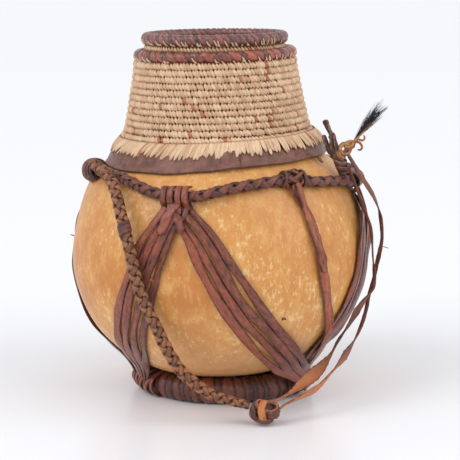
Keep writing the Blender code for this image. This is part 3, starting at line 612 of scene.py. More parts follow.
# each layer of colour over the last: its pattern, where it starts to show, where it is full, its share and
# its colour
GOURD_LAYERS = (
    ("broad", 0.36, 0.64, 1.0, "#D4934B"),
    ("height", 0.1, 0.2, 0.6, "#D99E5F"),  # painted light: the shoulder is painted paler where the light from above falls
    ("height", 0.1, 0.03, 0.7, "#E6B078"),  # painted light: the underside is painted paler for the light thrown up by the white floor
    ("mottle", 0.5, 0.36, 0.28, "#B5722F"),  # ochre clouds
    ("mottle", 0.5, 0.62, 0.35, "#E6BC74"),  # yellow clouds
    ("bare", 0.79, 0.88, 0.6, "#EFD3A0"),  # pale flakes, taller than wide
    ("scratch", 0.6, 0.75, 0.3, "#EBCB98"),  # fine upright scratches
    ("speck", 0.08, 0.04, 0.7, "#8A5A34"),  # dark specks
)

# a warm orange tan with a low sheen
gourd_finish, gourd_shader = new_finish("rubbed_gourd_shell", roughness=0.4, ior=1.48)
where = add_node(gourd_finish, "TexCoord", {}).outputs["Object"]
patterns = {"height": add_node(gourd_finish, "SeparateXYZ", {0: where}).outputs["Z"]}
for name, (stretch, size, detail, rough) in GOURD_PATTERNS.items():
    stretched = add_node(gourd_finish, "Mapping", {"Vector": where, "Scale": stretch}).outputs[0]
    sockets = {"Vector": stretched, "Scale": 1 / (size * MM), "Detail": detail, "Roughness": rough}
    patterns[name] = add_node(gourd_finish, "TexNoise", sockets).outputs["Fac"]
worn = {0: patterns["broad"], 1: 0.45, 2: patterns["flake"]}
patterns["bare"] = add_node(gourd_finish, "Math", worn, operation="MULTIPLY_ADD").outputs[0]
cells = {"Vector": where, "Scale": 1 / (9 * MM)}
patterns["speck"] = add_node(gourd_finish, "TexVoronoi", cells, feature="F1").outputs["Distance"]
skin = hex_colour("#C37B38")
for name, start, full, most, paint in GOURD_LAYERS:
    skin = tint(gourd_finish, skin, paint, patterns[name], start, full, most)
relief = add_node(
    gourd_finish, "Math", {0: patterns["flake"], 1: patterns["scratch"]}, operation="ADD",
).outputs[0]
dress(gourd_finish, gourd_shader, skin, relief, 0.3, 0.5)

bm = bmesh.new()
outside = [(point.x, point.y) for point in smooth_through([(*pair, 0) for pair in GOURD_SKIN], 6)]
inside = [(max(r - GOURD_WALL * 0.9, 0.0), z + GOURD_WALL * 0.7 * (1 - z / 220)) for r, z in outside[12::4]]
floor_inside = [(0.0, 19.5), (14.0, 19.7), (32.0, 20.6)]
turn_profile(bm, outside + inside[::-1] + floor_inside[::-1], 160)
bmesh.ops.remove_doubles(bm, verts=bm.verts, dist=MERGE_DISTANCE)
for vert in bm.verts:
    swell = noise.noise(vert.co * 22) * SKIN_SWELL
    vert.co += Vector((vert.co.x, vert.co.y, 0)).normalized() * swell * MM
make_piece("gourd_shell", bm, gourd_finish, "gourd_skin", "gourd", place=LEAN)

# Shoulder cord
# A plaited cord of dark red-brown hide, pulled tight round the gourd's shoulder. The straps hang from it
# and pull it down where they loop over it.

# (azimuth, height on the skin), round from the knot on the left
CORD_ROUTE = (
    (-78, 194), (-60, 195.5), (-42, 192.5), (-28, 186.8), (-17, 184), (-7, 184.5), (3, 188), (17, 190.5),
    (34, 191.8), (44, 188), (58, 185.8), (70, 182), (84, 181.5), (105, 185), (140, 189), (180, 190),
    (215, 187), (234, 182.5), (244, 181.5), (256, 184), (269, 190.5),
)
CORD_LIFT = 5.2
CORD_LAY = 27.0
CORD_STRAND = (6.2, 3.4)
CORD_BODY = 2.7

# dark red-brown, rubbed shiny, with painted shade, nearly black, between the strands
cord_hide = hide_finish(
    "dark_red_plaited_hide", "#381914", "#82422D", "#241110", 0.36, edge_from=1.15, wax=0.3,
)
turns = [(azimuth + turn, z, 0.0) for turn in (-360, 0, 360) for azimuth, z in CORD_ROUTE]
round_once = [point for point in smooth_through(turns, 8) if -82 <= point.x <= 280]
cord_path, _ = evenly([on_skin(point.x, point.y, CORD_LIFT) for point in round_once], 1.4)
bm = bmesh.new()
plait(bm, cord_path, CORD_LAY, CORD_STRAND, CORD_BODY, STRAND_SWAY, 2)
make_piece("shoulder_plait", bm, cord_hide, "strap_leather", "shoulder_cord", place=LEAN)

# Knots on the shoulder cord
# Each is one strand of hide woven round the cord three times, over and under itself, with a few plain turns
# beside it.

# each knot: name, node, azimuth on the cord, radius, half length, bights, strand, and its plain turns as
# (shift along the cord, radius, width, tilt)
CORD_KNOTS = (
    (
        "front_knot_turns", "front_knot", 33.4, 7.0, 7.8, 5, (3.4, 2.6),
        ((9.0, 6.2, 3.0, 8), (-9.4, 6.0, 3.0, -12)),
    ),
    (
        "left_knot_turns", "left_knot", -80.0, 8.8, 8.8, 5, (3.8, 3.0),
        (
            (10.4, 6.6, 3.2, 6), (7.6, 8.2, 3.4, 14), (4.0, 9.2, 3.4, -10), (0.6, 9.6, 3.2, 22),
            (-3.0, 9.6, 3.2, -18), (-6.4, 8.8, 3.2, 10), (-9.4, 7.2, 3.2, -6),
        ),
    ),
)
WEAVE_STEPS = 144
WEAVE_SWAY = 0.9  # how far the strand rises over itself
KNOT_CLOSING = 0.42  # how much narrower a knot is at its ends
TURN_STEPS = 32
TURN_THICK = 2.8
KNOT_CLEARANCE = 1.7
SHOULDER_TOP = 205.0


def azimuth_of(point):
    """How far round from the front towards +X a point lies, in degrees."""
    return degrees(atan2(point.x, -point.y))


def clear_of_gourd(point):
    """Moves a knot's point out of the gourd, to lie on its skin."""
    least, _ = off_profile(SKIN_TABLE, min(point.z, SHOULDER_TOP), KNOT_CLEARANCE)
    return around(azimuth_of(point), max(hypot(point.x, point.y), least), point.z)


def weave_knot(bm, centre, axes, radius, half, bights, strand, tone):
    """A ring knot round a cord: one strand runs round three times, from end to end of the knot and back."""
    off, across, along = axes
    centres, outs = [], []
    for step in range(WEAVE_STEPS + 1):
        turned = 6 * pi * step / WEAVE_STEPS
        far = cos(bights * turned / 3)
        out = off * cos(turned) + across * sin(turned)
        swell = radius * (1 - KNOT_CLOSING * far * far) + WEAVE_SWAY * sin(2 * bights * turned / 3)
        centres.append(clear_of_gourd(centre + along * far * half + out * swell))
        outs.append(out)
    lay_strand(bm, centres, outs, strand, tone, square=0.85, taper=0.0)


for name, node, azimuth, radius, half, bights, strand, turns in CORD_KNOTS:
    bm = bmesh.new()
    at = min(range(len(cord_path)), key=lambda index: abs(azimuth_of(cord_path[index]) - azimuth))
    at = max(min(at, len(cord_path) - 8), 7)
    centre = cord_path[at]
    along = (cord_path[at + 2] - cord_path[at - 2]).normalized()
    off = Vector((centre.x, centre.y, 0)).normalized()
    across = along.cross(off).normalized()
    off = across.cross(along)
    weave_knot(bm, centre, (off, across, along), radius, half, bights, strand, 0.8)
    turned_to = Matrix((off, across, along)).transposed()
    for number, (shift, wide, width, tilt) in enumerate(turns):
        lean = turned_to @ Matrix.Rotation(radians(tilt), 3, "X")
        outs = circle(lean, TURN_STEPS)
        centres = [clear_of_gourd(centre + along * shift + out * wide) for out in outs]
        lay_strand(bm, centres, outs, (width, TURN_THICK), number / 5, square=0.85, taper=0.0)
    inner = [centre + along * half * (step / 6 - 1) for step in range(13)]
    lay_strand(bm, inner, [off] * 13, (2 * radius - 3.0, 2 * radius - 4.0), 0.2, taper=5.0)
    make_piece(name, bm, cord_hide, "strap_leather", node, place=LEAN)

# Straps
# Flat strips of red-brown hide, four to a fan, looped over the shoulder cord. They cross below it, spread
# over the gourd's belly and draw together again where they are tied down on the foot ring. Their sides are
# painted dark, as shade in the gaps between the strips.
STRIP_WIDTH = 7.5
STRIP_THICK = 1.8
STRIP_LIFT = 1.45  # the innermost strip's middle above the skin
STRIP_STEP = 0.33
STRIP_COUNT = 4
STRIP_WAVER = 2.2  # how far a strip wanders to either side
STRIP_UNEVEN = 0.32  # how much its width changes, as a share
HEAD_SPACING = 6.2
LOOP_THICK = 2.4
LOOP_BEND = 0.9
LEVEL = ((0, 0), (1, 0))  # no shift or lift anywhere along a strip
STRAP_DRAPE = GOURD_SKIN[5:][::-1] + ((98.0, 44.5), (86.5, 33.0), (79.6, 23.0), (76.6, 14.0), (75.6, 4.0))
# (height above the fan's head, lift off the skin) along a strip that loops over the cord
HEAD_LOOP = (
    (-10, 1.6), (-8, 2.8), (-6.2, 5.4), (-4.5, 9.4), (-2, 11.3), (0, 11.6), (2, 11.3), (4.3, 9.4), (6, 4.8),
    (7.6, 1.9),
)
# each leg: its (azimuth, height on the skin) points, and its (share of length, extra lift) where it crosses
# others
FRONT_LEFT_LEG = (
    (
        (-16.4, 178), (-16.6, 172), (-20, 162), (-25.7, 138), (-30.8, 111), (-36.8, 83), (-44.6, 54),
        (-53, 36), (-60, 22), (-63, 5),
    ),
    LEVEL,
)
FRONT_RIGHT_LEG = (
    (
        (-16.6, 178), (-14.5, 172), (-7, 154), (0.2, 125), (5.6, 104), (11.7, 84), (21, 62), (35, 41),
        (49, 26), (60, 14), (63.5, 6),
    ),
    ((0, 0), (0.56, 0), (0.74, 5.8), (1, 5.8)),
)
RIGHT_NEAR_LEG = (
    (
        (77, 176), (77, 170), (76, 160), (71.5, 140), (67.8, 117), (65.2, 102), (63, 89), (61, 79),
        (57.5, 66), (54.5, 53), (55, 40), (58, 26), (60, 14), (60.5, 5),
    ),
    LEVEL,
)
RIGHT_FAR_LEG = (
    (
        (77, 176), (80, 170), (86, 154), (94, 134), (102, 114), (110, 95), (120, 76), (134, 56), (150, 38),
        (162, 22), (168.5, 5),
    ),
    LEVEL,
)
LEFT_NEAR_LEG = (
    (
        (-116, 176), (-114, 170), (-109, 150), (-104, 130), (-99.5, 110), (-95, 90), (-90, 68), (-86, 50),
        (-82, 34), (-80, 18), (-79.5, 5),
    ),
    LEVEL,
)
LEFT_FAR_LEG = (
    (
        (-116, 176), (-117, 170), (-119, 154), (-121, 134), (-124, 114), (-129, 95), (-136, 76), (-146, 56),
        (-157, 38), (-166, 22), (-171, 5),
    ),
    LEVEL,
)
FANS = (
    ("front_straps", -16.5, 184.0, FRONT_LEFT_LEG, FRONT_RIGHT_LEG),
    ("right_straps", 77.0, 181.8, RIGHT_NEAR_LEG, RIGHT_FAR_LEG),
    ("left_straps", -116.0, 181.5, LEFT_NEAR_LEG, LEFT_FAR_LEG),
)
LEG_SPREAD = ((0.0, 6.2), (0.07, 5.4), (0.2, 7.6), (0.5, 8.7), (0.68, 8.0), (0.85, 5.2), (1.0, 4.0))
LEG_NARROWING = ((0.0, 0.62), (0.07, 0.7), (0.16, 0.9), (0.3, 1.0), (0.8, 0.98), (1.0, 0.9))
# (share of length, extra lift) near the head, of the leg that crosses over the other one, and of every
# other strip
HEAD_OVER = ((0.0, 3.2), (0.1, 3.0), (0.2, 1.6), (0.3, 0.0), (1.0, 0.0))
HEAD_STAGGER = ((0.0, 1.2), (0.12, 1.5), (0.26, 0.0), (1.0, 0.0))
# strips tied across the front fan below its head
HEAD_TIE = ((-15.2, 183), (-15.8, 178.5), (-17.2, 174), (-18.8, 169), (-19.6, 163), (-22.5, 157))
HEAD_TIE_BACK = ((-18.6, 181), (-18.2, 176), (-16.6, 171), (-14.6, 165), (-12.2, 158))
DRAPE_TABLE = profile_table(STRAP_DRAPE)


def lay_leg(bm, leg, offsets, lift, width, tone, rise=LEVEL):
    """A strip laid along a leg's route and moved sideways, wavering a little as hand-cut hide does."""
    route, extra = leg
    smooth = smooth_through([(*pair, 0) for pair in route], 8)
    path, _ = evenly([on_skin(point.x, point.y, 0.0, DRAPE_TABLE) for point in smooth], 2.6)
    centres, outs, sizes = [], [], []
    last = len(path) - 1
    for index, point in enumerate(path):
        share = index / last
        ahead = path[min(index + 1, last)] - path[max(index - 1, 0)]
        azimuth = azimuth_of(point)
        out = on_skin(azimuth, point.z, 1.0, DRAPE_TABLE) - on_skin(azimuth, point.z, 0.0, DRAPE_TABLE)
        out.normalize()
        side = ahead.cross(out).normalized()
        waver = STRIP_WAVER * noise.noise(Vector((share * 4, tone * 40, 0)))
        moved = point + side * (read_at(offsets, share) + waver)
        raised = lift + read_at(extra, share) + read_at(rise, share)
        centres.append(on_skin(azimuth_of(moved), moved.z, raised, DRAPE_TABLE))
        twist = 0.5 * noise.noise(Vector((share * 7, tone * 31, 4)))
        outs.append(out + side * twist)
        uneven = 1 + STRIP_UNEVEN * noise.noise(Vector((share * 9, tone * 17, 9)))
        sizes.append((width * uneven * read_at(LEG_NARROWING, share), STRIP_THICK))
    lay_strand(bm, centres, outs, sizes, tone, sides=12, square=0.75, far=tone * 700)


# red-brown with dark streaks along each strip, shiny where it was handled, and painted shade along its sides
strap_hide = hide_finish(
    "red_brown_strap_hide", "#351711", "#A04E33", "#30170F", 0.3, edge_from=1.14, wax=0.3,
)
for name, head_azimuth, head_z, *legs in FANS:
    bm = bmesh.new()
    side = around(head_azimuth + 90, 1.0, 0.0)
    for strip in range(STRIP_COUNT):
        across = strip - (STRIP_COUNT - 1) / 2
        tone = strip / STRIP_COUNT
        loop = [on_skin(head_azimuth, head_z + dz, lift + strip * 0.12) for dz, lift in HEAD_LOOP]
        loop, _ = evenly(smooth_through(loop, 6), 1.6)
        bend = [
            LOOP_BEND * noise.noise(Vector((index * 0.09, strip * 3.1, head_azimuth)))
            for index in range(len(loop))
        ]
        loop = [point + side * (across * HEAD_SPACING + shift) for point, shift in zip(loop, bend)]
        outs = [side.cross(ahead) * -1 + side * 0.3 * (strip % 2 - 0.5) for _, ahead, _, _ in travel(loop)]
        size = (STRIP_WIDTH - 2.2 + 0.8 * (strip % 2), LOOP_THICK)
        lay_strand(bm, loop, outs, size, tone, sides=12, square=0.85, taper=1.0)
        for number, leg in enumerate(legs):
            offsets = [(share, across * spread) for share, spread in LEG_SPREAD]
            lift = STRIP_LIFT + STRIP_STEP * ((strip + 2 * number) % 4)
            rise = []
            for share in sorted({share for share, _ in HEAD_OVER + HEAD_STAGGER}):
                over = read_at(HEAD_OVER, share) * (1 - number)
                rise.append((share, over + read_at(HEAD_STAGGER, share) * (strip % 2)))
            lay_leg(bm, leg, offsets, lift, STRIP_WIDTH, tone + number * 0.1, rise)
    if name == "front_straps":
        lay_leg(bm, (HEAD_TIE, LEVEL), LEVEL, 7.4, 9.0, 0.75)
        lay_leg(bm, (HEAD_TIE_BACK, LEVEL), LEVEL, 6.8, 7.5, 0.35)
    make_piece(name + "_strips", bm, strap_hide, "strap_leather", name, place=LEAN)

# Single strap
# One more strip, tied to the front knot and drawn down to the foot ring over the strips on the right.
SINGLE_ROUTE = (
    (33.2, 189), (34.2, 182), (35.8, 172), (37.4, 158), (38.4, 140), (40.3, 118), (43.5, 94), (46.7, 72),
    (50, 55), (54.5, 40), (59.5, 25), (61.5, 14), (62, 5),
)
SINGLE_LIFT = ((0, 7.5), (0.04, 6), (0.1, 1), (0.5, 0), (0.6, 3.2), (1, 3.2))
# a second layer, folded in below the knot
SECOND_STRIP = ((0, 3.4), (0.08, 2.6), (0.16, 0.8), (0.24, 0.0), (1, 0.0))

# lighter and more orange than the fans
single_hide = hide_finish(
    "lighter_brown_strap_hide", "#4A2216", "#B25A36", "#43281C", 0.34, edge_from=1.16, wax=0.2,
)
bm = bmesh.new()
lay_leg(bm, (SINGLE_ROUTE, SINGLE_LIFT), LEVEL, STRIP_LIFT + 0.6, 9.6, 0.6)
lay_leg(bm, (SINGLE_ROUTE[:6], SINGLE_LIFT), SECOND_STRIP, STRIP_LIFT - 0.2, 8.6, 0.1)
make_piece("single_strip", bm, single_hide, "strap_leather", "single_strap", place=LEAN)

# Basket neck
# Coils of grass sewn with split palm leaf. Each row is a band of short stitches that lean left and bulge,
# painted darker at their feet as shade, and the coils show in the small gaps between the rows, painted dark
# as shade. A few stitches are stained pink by the hide's dye.
NECK_OUTSIDE = (
    (68.4, 290.3), (69.6, 279.0), (72.0, 265.0), (75.8, 245.0), (79.2, 231.0), (86.4, 217.0), (88.6, 213.6),
)
NECK_WALL = 5.5
NECK_ROWS = 12
ROW_HEIGHT = 5.45
FIRST_ROW = 286.2
STITCH_PITCH = 3.05
STITCH_LEAN = 3.0  # how far its top lies left of its foot
STITCH_WIDTH = 1.4  # as a share of the pitch
STITCH_OVERLAP = 2.1  # how far it reaches into the rows above and below
STITCH_BULGE = 1.35
COIL_DIP = 1.2  # how far the coils draw in between two rows
STAINED_SHARE = 0.03
NECK_TABLE = profile_table(NECK_OUTSIDE)

# dry pale straw, each stitch a little different, and browner in fine streaks along it; the foot of each
# stitch is painted darker as the shade under its row
straw_finish, straw_shader = new_finish("split_palm_leaf", roughness=0.75, ior=1.45)
lie = add_node(straw_finish, "Attribute", {}, attribute_name="lie").outputs["Vector"]
parts = add_node(straw_finish, "SeparateXYZ", {0: lie}).outputs
fibre_lie = add_node(straw_finish, "Mapping", {"Vector": lie, "Scale": (3.2, 0.12, 40.0)}).outputs[0]
fibre = add_node(straw_finish, "TexNoise", {"Vector": fibre_lie, "Scale": 1.6, "Detail": 3}).outputs["Fac"]
straw = tint(straw_finish, hex_colour("#BA8B67"), "#EBCBA7", parts["Z"], 0.0, 0.8)
straw = tint(straw_finish, straw, "#B9704F", parts["Z"], 0.11, 0.06, 0.85)
# painted shade: darker towards the foot of each stitch, where its row turns under
straw = tint(straw_finish, straw, "#7E4A30", parts["Y"], 2.2, 0.6, 0.55)
straw = tint(straw_finish, straw, "#8A5B3C", fibre, 0.6, 0.4, 0.35)
dress(straw_finish, straw_shader, straw, fibre, 0.3, 0.6)

# the coils under the stitches show only between the rows, painted dark red-brown as the shade there
coil_finish, coil_shader = new_finish("shaded_grass_coil", roughness=0.9)
where = add_node(coil_finish, "TexCoord", {}).outputs["Object"]
grass = add_node(
    coil_finish, "TexNoise", {"Vector": where, "Scale": 1 / (3 * MM), "Detail": 4},
).outputs["Fac"]
shades = {0: grass, 6: hex_colour("#3E1E15"), 7: hex_colour("#74412C")}
coil = add_node(coil_finish, "Mix", shades, data_type="RGBA").outputs[2]
coil_finish.node_tree.links.new(coil, coil_shader.inputs["Base Color"])


def sew(bm, middle, side, up, out, width, height, bulge, lean, tone):
    """One bulging stitch of leaf: pointed at both ends, its head shifted sideways by lean."""

    def place(u, v):
        turn = tau * u
        rise = sin(pi * v)
        full = rise if 0 < v < 1 else 0.0
        x = cos(turn) * width / 2 * full
        point = middle + side * (x - lean * (v - 0.5)) + up * (v - 0.5) * height
        return point + out * (sin(turn) * bulge * full + rise - 0.3), (cos(turn), v * height, tone)

    lay_grid(bm, 6, 6, place)


def tone_of(dice, azimuth, z):
    """How pale a stitch is: by patches, and by chance. The lowest tone is the pink of the stained ones."""
    if dice.random() < STAINED_SHARE:
        return 0.05
    patch = noise.noise(Vector((azimuth * 0.035, z * 0.05, 3)))
    return min(max(0.6 + 0.3 * patch + dice.uniform(-0.25, 0.25), 0.15), 1.0)


dice = random.Random(7)
bm = bmesh.new()
for row in range(NECK_ROWS):
    z = FIRST_ROW - row * ROW_HEIGHT
    radius = read_at(NECK_TABLE, z)
    count = round(tau * radius / STITCH_PITCH)
    for number in range(count):
        azimuth = 360 * (number + 0.5 * (row % 2) + dice.uniform(-0.14, 0.14)) / count
        r, height = off_profile(NECK_TABLE, z, 0.1)
        above = around(azimuth, read_at(NECK_TABLE, z + 1), z + 1)
        up = (above - around(azimuth, read_at(NECK_TABLE, z - 1), z - 1)).normalized()
        side = around(azimuth + 90, 1, 0)
        size = dice.uniform(0.86, 1.12)
        sew(
            bm, around(azimuth, r, height), side, up, side.cross(up), STITCH_PITCH * STITCH_WIDTH * size,
            (ROW_HEIGHT + STITCH_OVERLAP) * size, STITCH_BULGE, STITCH_LEAN + dice.uniform(-0.5, 0.5),
            tone_of(dice, azimuth, z),
        )
make_piece("neck_stitches", bm, straw_finish, "palm_fibre", "neck_basket", place=LEAN)

bm = bmesh.new()
outside = [(68.0, 290.3)]
for row in range(NECK_ROWS):
    crest = FIRST_ROW - row * ROW_HEIGHT
    valley = crest - ROW_HEIGHT / 2
    outside += [(read_at(NECK_TABLE, crest) - 0.2, crest), (read_at(NECK_TABLE, valley) - COIL_DIP, valley)]
inside = []
for step in range(26):
    wall = NECK_WALL - 0.5 * cos(pi * step)
    inside.append((read_at(NECK_TABLE, 213.6 + 3.0 * step) - wall, 214.0 + 3.0 * step))
turn_profile(bm, outside + [(85.2, 218.0), (87.4, 213.6), (86.0, 211.5), (80.3, 211.0)] + inside, 128)
make_piece("neck_coils", bm, coil_finish, "palm_fibre", "neck_basket", place=LEAN)

# Skirt of the neck
# The last row is sewn through the hide collar with long stitches, which lie over one another like cut
# grass. They slant up to the right on the left side of the vessel, stand up in the middle and slant the
# other way on the right.
SKIRT_LINE = ((83.6, 225.0), (86.6, 221.6), (89.0, 218.6), (90.9, 216.0), (92.2, 213.6), (93.0, 211.6))
SKIRT_RADIUS = 92
SKIRT_PITCH = 2.0
SKIRT_STITCH = (3.9, 1.15)
# (azimuth, how far the foot lies right of the head)
SKIRT_SLANT = ((-180, 3), (-120, -7), (-60, -9), (-20, -7), (5, -3), (35, 0.5), (70, 4), (120, 5), (180, 3))
# (azimuth, how much higher the skirt and the collar sit there)
SKIRT_RISE = ((-180, 0.5), (-60, 0), (-20, 0), (0, 1.0), (25, 2.0), (60, 3.2), (110, 2.5), (180, 0.5))

bm = bmesh.new()
skirt_line = [Vector((r, z, 0)) for r, z in SKIRT_LINE]
count = round(tau * SKIRT_RADIUS / SKIRT_PITCH)
for number in range(count):
    azimuth = -180 + 360 * (number + dice.uniform(-0.3, 0.3)) / count
    slant = read_at(SKIRT_SLANT, azimuth) + dice.uniform(-2.0, 2.0)
    rise = read_at(SKIRT_RISE, azimuth)
    end = dice.uniform(0.78, 1.0)
    over = dice.uniform(-0.3, 0.9)
    reached, _ = evenly(smooth_through(skirt_line, 3), 1.5)
    reached = reached[: max(round(len(reached) * end), 5)]
    centres, outs, sizes = [], [], []
    for index, point in enumerate(reached):
        share = index / (len(reached) - 1)
        swing = degrees(slant * share / point.x)
        centres.append(around(azimuth + swing, point.x + over * sin(pi * share), point.y + rise))
        outs.append(around(azimuth + swing + 14 * over, 1.0, 0.7))
        sizes.append((SKIRT_STITCH[0] * sin(pi * (0.16 + 0.8 * share)) ** 0.5, SKIRT_STITCH[1]))
    lay_strand(bm, centres, outs, sizes, tone_of(dice, azimuth, 215), sides=6, taper=2.0)
make_piece("skirt_stitches", bm, straw_finish, "palm_fibre", "neck_basket", place=LEAN)

# Collar
# A band of thin purple-brown hide, put on wet over the joint of gourd and basket so that it shrank tight.
# Its lower edge is rolled and its ends overlap at the front.
COLLAR_LINE = (
    (112.3, 185.0), (104.2, 194.5), (99.0, 199.0), (94.6, 202.8), (92.0, 206.5), (90.2, 210.5),
    (88.6, 214.5), (86.4, 219.0),
)
COLLAR_EDGE = (
    (-360, 200.6), (-180, 203.0), (-60, 200.2), (-25, 200.3), (0, 202.6), (11, 204.6), (60, 206.2),
    (120, 205.0), (180, 203.0),
)
COLLAR_TOP = 218.0
COLLAR_SEAM_DEG = 11.4
COLLAR_THICK = 2.0
COLLAR_OVERLAP = 1.6
COLLAR_ROLL = 0.9
COLLAR_GAP = 0.7  # from the skin
COLLAR_TABLE = profile_table(COLLAR_LINE)

# cloudy purple-brown with a dull sheen
collar_finish = hide_finish(
    "shrunk_purple_brown_hide", "#432822", "#8B594A", "#33201C", 0.42, edge_from=1.34, grain_mm=0.7,
    wax=0.15,
)
bm = bmesh.new()


def place_collar(u, v):
    """A point of the band: u goes round its section, and v along it from the lower end to the lapped one."""
    turn = tau * u
    azimuth = COLLAR_SEAM_DEG + 360 * v
    lap = COLLAR_OVERLAP * min(max((v - 0.955) / 0.03, 0.0), 1.0)
    full = 1.0 if 0.0 < v < 1.0 else 0.3
    turned = azimuth - 360 if azimuth > 180 else azimuth
    low = read_at(COLLAR_EDGE, turned) + 0.6 * noise.noise(around(azimuth, 3.0, 8.0))
    middle, half = (low + COLLAR_TOP) / 2, (COLLAR_TOP - low) / 2
    z = middle - half * copysign(abs(cos(turn)) ** 0.5, cos(turn))
    roll = COLLAR_ROLL * max(cos(turn), 0.0) ** 6
    dent = 0.35 * noise.noise(around(azimuth, 14.0, z * 0.3))
    lift = COLLAR_GAP + COLLAR_THICK / 2 + lap + (COLLAR_THICK / 2 * full + roll + dent) * sin(turn)
    return on_skin(azimuth, z, lift, COLLAR_TABLE), (cos(turn), azimuth * 1.7, 0.5)


lay_grid(bm, 28, 300, place_collar)
make_piece("collar_band", bm, collar_finish, "collar_leather", "collar", place=LEAN)

# Rim bindings
# Both rims are wound with glossy red-brown hide. Its slanting turns bulge, bright ones and dark ones by
# turns, and pale stitches of palm leaf come up between them from the row below.

# each rim: name, node, ring radius, height, half width, half height, turns of hide, whether it is the lid's
RIMS = (
    ("neck_rim_turns", "neck_rim_binding", 65.3, 293.7, 4.6, 4.5, 60, False),
    ("lid_rim_turns", "lid_rim_binding", 58.4, 307.0, 4.6, 4.7, 84, True),
)
RIM_GROOVE = 1.7
RIM_STRAND = (1.9, 1.1)  # the pale stitches between the turns
RIM_SLANT = 0.034  # share of the way round that a turn passes, on its way round the rim's section
LID_SKEW_DEG = 0.7
LID_TOP = 301.6
LID_PLACE = (
    LEAN
    @ Matrix.Translation(Vector((0, 0, LID_TOP)) * MM)
    @ Matrix.Rotation(radians(LID_SKEW_DEG), 4, "Y")
    @ Matrix.Translation(Vector((0, 0, -LID_TOP)) * MM)
)

# bright red-brown on the neck and darker on the lid, both rubbed shiny, with painted shade, nearly black, in
# the grooves between the turns
rim_finish = hide_finish(
    "polished_red_brown_hide", "#34120F", "#A84E34", "#1C0A08", 0.18, edge_from=1.12, wax=0.8,
)
lid_rim_finish = hide_finish(
    "polished_dark_brown_hide", "#2C1413", "#935044", "#1A0C0A", 0.2, edge_from=1.1, wax=0.8,
)


def mark_turns(dice, widths):
    """Where each turn of a winding begins, as shares of the way round, from its turns' widths."""
    widths = [width * dice.uniform(0.8, 1.2) for width in widths]
    marks = [0.0]
    for width in widths:
        marks.append(marks[-1] + width / sum(widths))
    return marks


def wind_ring(
    bm, radius, height, half_width, half_height, marks, slant, groove, steps, sides, tones, flat=0.0,
):
    """A ring wound with strips, each of which bulges and has a tone of its own."""

    def place(u, v):
        angle = tau * (u + 0.5)
        fade = min(6 * u, 6 * (1 - u), 1.0)
        waver = 0.0018 * noise.noise(around(360 * v, 9, 3 * sin(angle)))
        along = (v + slant * (u - 0.5) + waver) % 1.0
        number = max(index for index, mark in enumerate(marks[:-1]) if mark <= along)
        phase = (along - marks[number]) / (marks[number + 1] - marks[number])
        wide = (marks[number + 1] - marks[number]) * tau * radius
        swell = fade * min(groove, 0.3 * wide) * (sin(pi * phase) ** 0.45 - 0.8)
        z = height + (half_height + swell) * sin(angle)
        point = around(360 * v, radius + (half_width + swell) * cos(angle), max(z, flat))
        return point, (2 * phase - 1, 300 * v, tones[number % len(tones)])

    lay_grid(bm, sides, steps, place)


for name, node, radius, height, half_width, half_height, turns, of_lid in RIMS:
    bm = bmesh.new()
    marks = mark_turns(dice, [1.5 if number % 3 else 0.7 for number in range(turns)])
    tones = [dice.uniform(0.3, 1.1) if number % 3 else dice.uniform(-0.6, 0.1) for number in range(turns)]
    wind_ring(bm, radius, height, half_width, half_height, marks, RIM_SLANT, RIM_GROOVE, 900, 20, tones)
    finish, place = (lid_rim_finish, LID_PLACE) if of_lid else (rim_finish, LEAN)
    make_piece(name, bm, finish, "binding_leather", node, place=place)
    bm = bmesh.new()
    for mark in marks[:-1]:
        for strand in range(2):
            if dice.random() < (0.35 if of_lid else 0.25):
                continue
            centres, outs = [], []
            top = dice.uniform(0.35, 1.0)
            for step in range(9):
                share = step / 8
                angle = -1.25 + 1.5 * top * share
                azimuth = 360 * (mark - RIM_SLANT * angle / tau) + (1 - share) * 1.6 * (strand - 0.5)
                out = around(azimuth, cos(angle), sin(angle))
                reach = Vector((out.x * half_width, out.y * half_width, out.z * half_height))
                centres.append(around(azimuth, radius, height) + reach * (1.04 + 0.08 * (1 - share)))
                outs.append(out)
            sizes = [(RIM_STRAND[0] * (1.2 - 0.9 * step / 8), RIM_STRAND[1]) for step in range(9)]
            lay_strand(bm, centres, outs, sizes, dice.uniform(0.5, 1.0), sides=6, taper=1.2)
    make_piece(name + "_stitches", bm, straw_finish, "palm_fibre", place=place)

# Lid
# A shallow dish of the same sewn coils, which plugs the neck. The stitches of its floor point out from the
# middle.
LID_OUTER = 60.2
LID_INNER = 54.4
LID_FLOOR = 293.0
LID_BASE = 287.0
FLOOR_ROWS = 10
FLOOR_ROW_WIDTH = 5.2
FLOOR_MIDDLE = 2.8  # radius of its first row
LID_ROW_HEIGHT = 4.9
LID_STITCH_WIDTH = STITCH_PITCH * 1.05

bm = bmesh.new()
profile = [
    (0.0, LID_FLOOR - 0.6), (LID_INNER - 4, LID_FLOOR), (LID_INNER + 0.8, LID_FLOOR + 3),
    (LID_INNER + 1.2, LID_TOP),
]
profile += [
    (LID_OUTER - 1.2, LID_TOP), (LID_OUTER - 0.8, LID_BASE + 1), (LID_OUTER - 2, LID_BASE), (0.0, LID_BASE),
]
turn_profile(bm, profile, 96)
make_piece("lid_coils", bm, coil_finish, "palm_fibre", "lid_basket", place=LID_PLACE)

